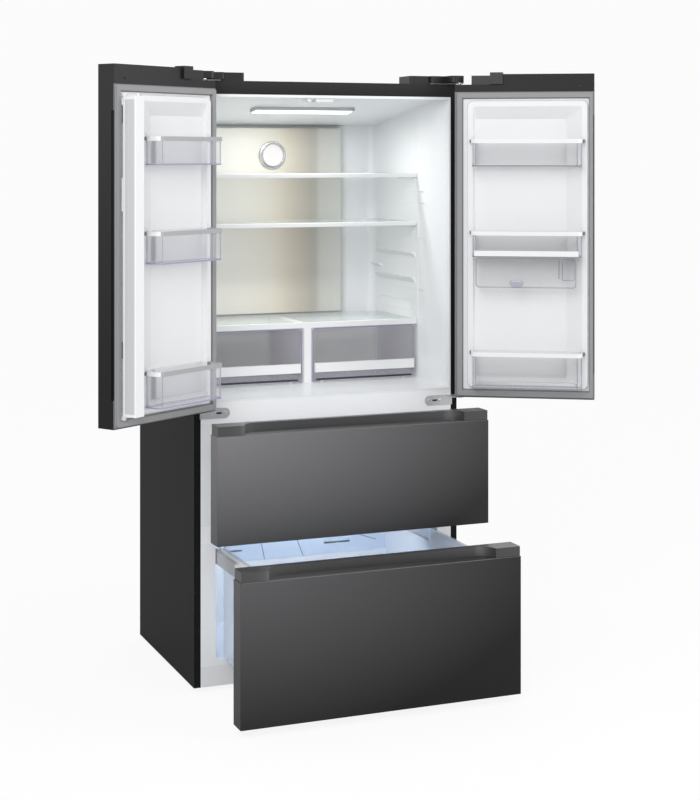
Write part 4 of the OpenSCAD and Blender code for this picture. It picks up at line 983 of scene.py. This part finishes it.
frame_lines = bmesh.new()
for x in (-POST_X, POST_X):
    join_in(frame_lines, front_strip(x - STRIP_HALF, x + STRIP_HALF, FRAME_FOOT, TRIM_FOOT))
for side in (-1, 1):
    join_in(frame_lines, front_strip(*span(side, COVER_X), TRIM_FOOT - COVER_DOWN, TRIM_FOOT + COVER_UP))
# Painted edge shade in violet, as on the crispers.
hand_over("crisper_frame_lines", frame_lines, "cabinet", violet_edge_shade)

# %% [markdown]
# ## Lips of the drawer fronts
#
# Below each grip the steel is folded back, and the light catches the fold as a bright
# hair line. A thin bright block along the top of each front paints that highlight.

# %% Front lips
lip_painted_highlight = plain_finish("lip_painted_highlight", (0.34, 0.34, 0.345), 0.25, 900, 0.05, metallic=0.7)
LIP_IN, LIP_Y, LIP_DOWN = 0.004, (0.0003, 0.0032), (0.0030, 0.0021)
for name in ("upper_drawer", "lower_drawer"):
    low, high = (Vector(c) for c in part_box(name + "_front"))
    # Painted highlight: a bright metal strip where the fold catches the light.
    lip = block((low.x + LIP_IN, low.y + LIP_Y[0], high.z - LIP_DOWN[0]),
                (high.x - LIP_IN, low.y + LIP_Y[1], high.z - LIP_DOWN[1]), FINE_EDGE, 1)
    hand_over(name + "_front_lip_highlight", lip, name, lip_painted_highlight)

# %% [markdown]
# ## Seams of the air cover
#
# Behind the lower drawer, the cover of the cold air duct is made of panels that meet
# at a slant. A dark bead from end to end of each joint shows it.

# %% Cover seams
COVER_Y = 0.400
SEAMS = [((-0.074, 0.300), (-0.056, 0.215)), ((0.045, 0.306), (0.080, 0.215)),
         ((0.262, 0.301), (0.320, 0.282))]
seams = bmesh.new()
for (x0, z0), (x1, z1) in SEAMS:
    start, end = on_cabinet(x0, COVER_Y, z0), on_cabinet(x1, COVER_Y, z1)
    join_in(seams, bead((end - start).length), facing(start, end - start))
hand_over("cover_seams", seams, "cabinet", screw_dark)

# %% [markdown]
# ## Inside the hanging box
#
# The box under the right door's middle bin has a lens in its oval knob, a low divider,
# a small pocket at its end and a thick rim round its face. They slide out with it.

# %% Knob lens
BOX_LEFT, BOX_RIGHT, BOX_FLOOR, BOX_TOP = 0.055, 0.353, 1.137, 1.227
BOX_BACK, BOX_FRONT = 0.056, 0.110
KNOB_X, KNOB_Z, KNOB_OUT = (0.160, 0.195), (1.145, 1.159), 0.004
LENS_SIZE, LENS_STEPS = (0.041, 0.020, 0.0022), (0.25, 0.3)


def lens(width, height, rise, segments=32):
    """Crowned oval plate on z = 0."""
    shape = bmesh.new()
    radius = height / 2
    bmesh.ops.create_circle(shape, cap_ends=True, segments=segments, radius=radius,
                            matrix=Matrix.Rotation(math.pi / segments, 4, "Z"))
    for vert in shape.verts:
        vert.co.x += (width / 2 - radius) * (1 if vert.co.x > 0 else -1)
    top = draw_out(shape, list(shape.faces), (0, 0, rise))
    shape.normal_update()
    for step in LENS_STEPS:
        bmesh.ops.inset_region(shape, faces=top, thickness=radius * step, depth=rise * step)
    return shape


knob_place = Matrix.Translation((sum(KNOB_X) / 2, BOX_FRONT + KNOB_OUT, sum(KNOB_Z) / 2)) @ FACE_IN
lens_clear = clear_finish("lens_clear", (0.56, 0.56, 0.66), (0.44, 0.42, 0.62), 0.55, 0.9, 0.1)
hand_over("snack_knob_lens", lens(*LENS_SIZE), "snack_drawer", lens_clear,
          door_matrix("right") @ knob_place)

# %% [markdown]
# ## Divider, pocket and rim of the box
#
# The divider is a thin block from front to back. The pocket and the rim round the
# box's face are flat frames that stand upright, like the outlines of the crispers.

# %% Divider, pocket and rim
DIVIDER_X, DIVIDER_IN, DIVIDER_Z, DIVIDER_EDGE = (0.2995, 0.3015), 0.003, (0.028, 0.008), 0.0005
POCKET_SIZE, POCKET_STRIP, POCKET_T, POCKET_CORNER = (0.036, 0.062), 0.0018, 0.0018, 0.005
POCKET_X, POCKET_IN, POCKET_DOWN = 0.328, 0.006, 0.036
RIM_IN, RIM_DOWN, RIM_STRIP, RIM_T, RIM_CORNER = 0.004, 0.003, 0.0020, 0.0014, 0.010
fittings = bmesh.new()
join_in(fittings, block((DIVIDER_X[0], BOX_BACK + DIVIDER_IN, BOX_FLOOR + DIVIDER_Z[0]),
                        (DIVIDER_X[1], BOX_FRONT - DIVIDER_IN, BOX_TOP - DIVIDER_Z[1]), DIVIDER_EDGE))
pocket = flat_frame(*POCKET_SIZE, POCKET_STRIP, POCKET_T, POCKET_CORNER)
pocket_middle = (POCKET_X, BOX_FRONT - POCKET_IN, BOX_TOP - POCKET_DOWN)
join_in(fittings, pocket, Matrix.Translation(pocket_middle) @ STAND_UP)
face_rim = flat_frame(BOX_RIGHT - BOX_LEFT - RIM_IN, BOX_TOP - BOX_FLOOR - RIM_DOWN, RIM_STRIP, RIM_T,
                      RIM_CORNER)
rim_middle = ((BOX_LEFT + BOX_RIGHT) / 2, BOX_FRONT, (BOX_FLOOR + BOX_TOP) / 2)
join_in(fittings, face_rim, Matrix.Translation(rim_middle) @ STAND_UP)
# The fittings take the grey painted edge shade of the right door's bins.
hand_over("snack_box_fittings", fittings, "snack_drawer", grey_edge_shade, door_matrix("right"))

# %% [markdown]
# ## Beads and panels on the liner's walls
#
# The side walls carry low beads where the mould parts, an upright one where the wall
# steps, and an embossed panel beside the crispers' cover. They are only a millimetre
# high, but they catch the light.

# %% Wall beads and embossed panels
WALL_X = 0.368
BEADS = [(1.416, 0.138, 0.345), (1.381, 0.131, 0.358), (1.270, 0.130, 0.345), (1.110, 0.135, 0.330)]
STEP_Y, STEP_Z, STEP_L = 0.180, 1.020, 0.445
PANEL_SIZE, PANEL_STRIP, PANEL_T, PANEL_CORNER = (0.242, 0.029), 0.0016, 0.0012, 0.006
PANEL_Y, PANEL_Z, PANEL_OUT = 0.347, 1.0555, 0.0006
walls = bmesh.new()
for side in (-1, 1):
    for z, y0, y1 in BEADS:
        join_in(walls, bead(y1 - y0), facing(on_cabinet(side * WALL_X, y0, z), (0, 1, 0)))
    join_in(walls, bead(STEP_L), facing(on_cabinet(side * WALL_X, STEP_Y, STEP_Z), (0, 0, 1)))
    panel = flat_frame(*PANEL_SIZE, PANEL_STRIP, PANEL_T, PANEL_CORNER)
    along_wall = Matrix.Rotation(math.radians(90), 4, "Z") @ STAND_UP
    middle = on_cabinet(side * (WALL_X - PANEL_OUT), PANEL_Y, PANEL_Z)
    join_in(walls, panel, Matrix.Translation(middle) @ along_wall)
hand_over("liner_beads", walls, "cabinet", liner_white)
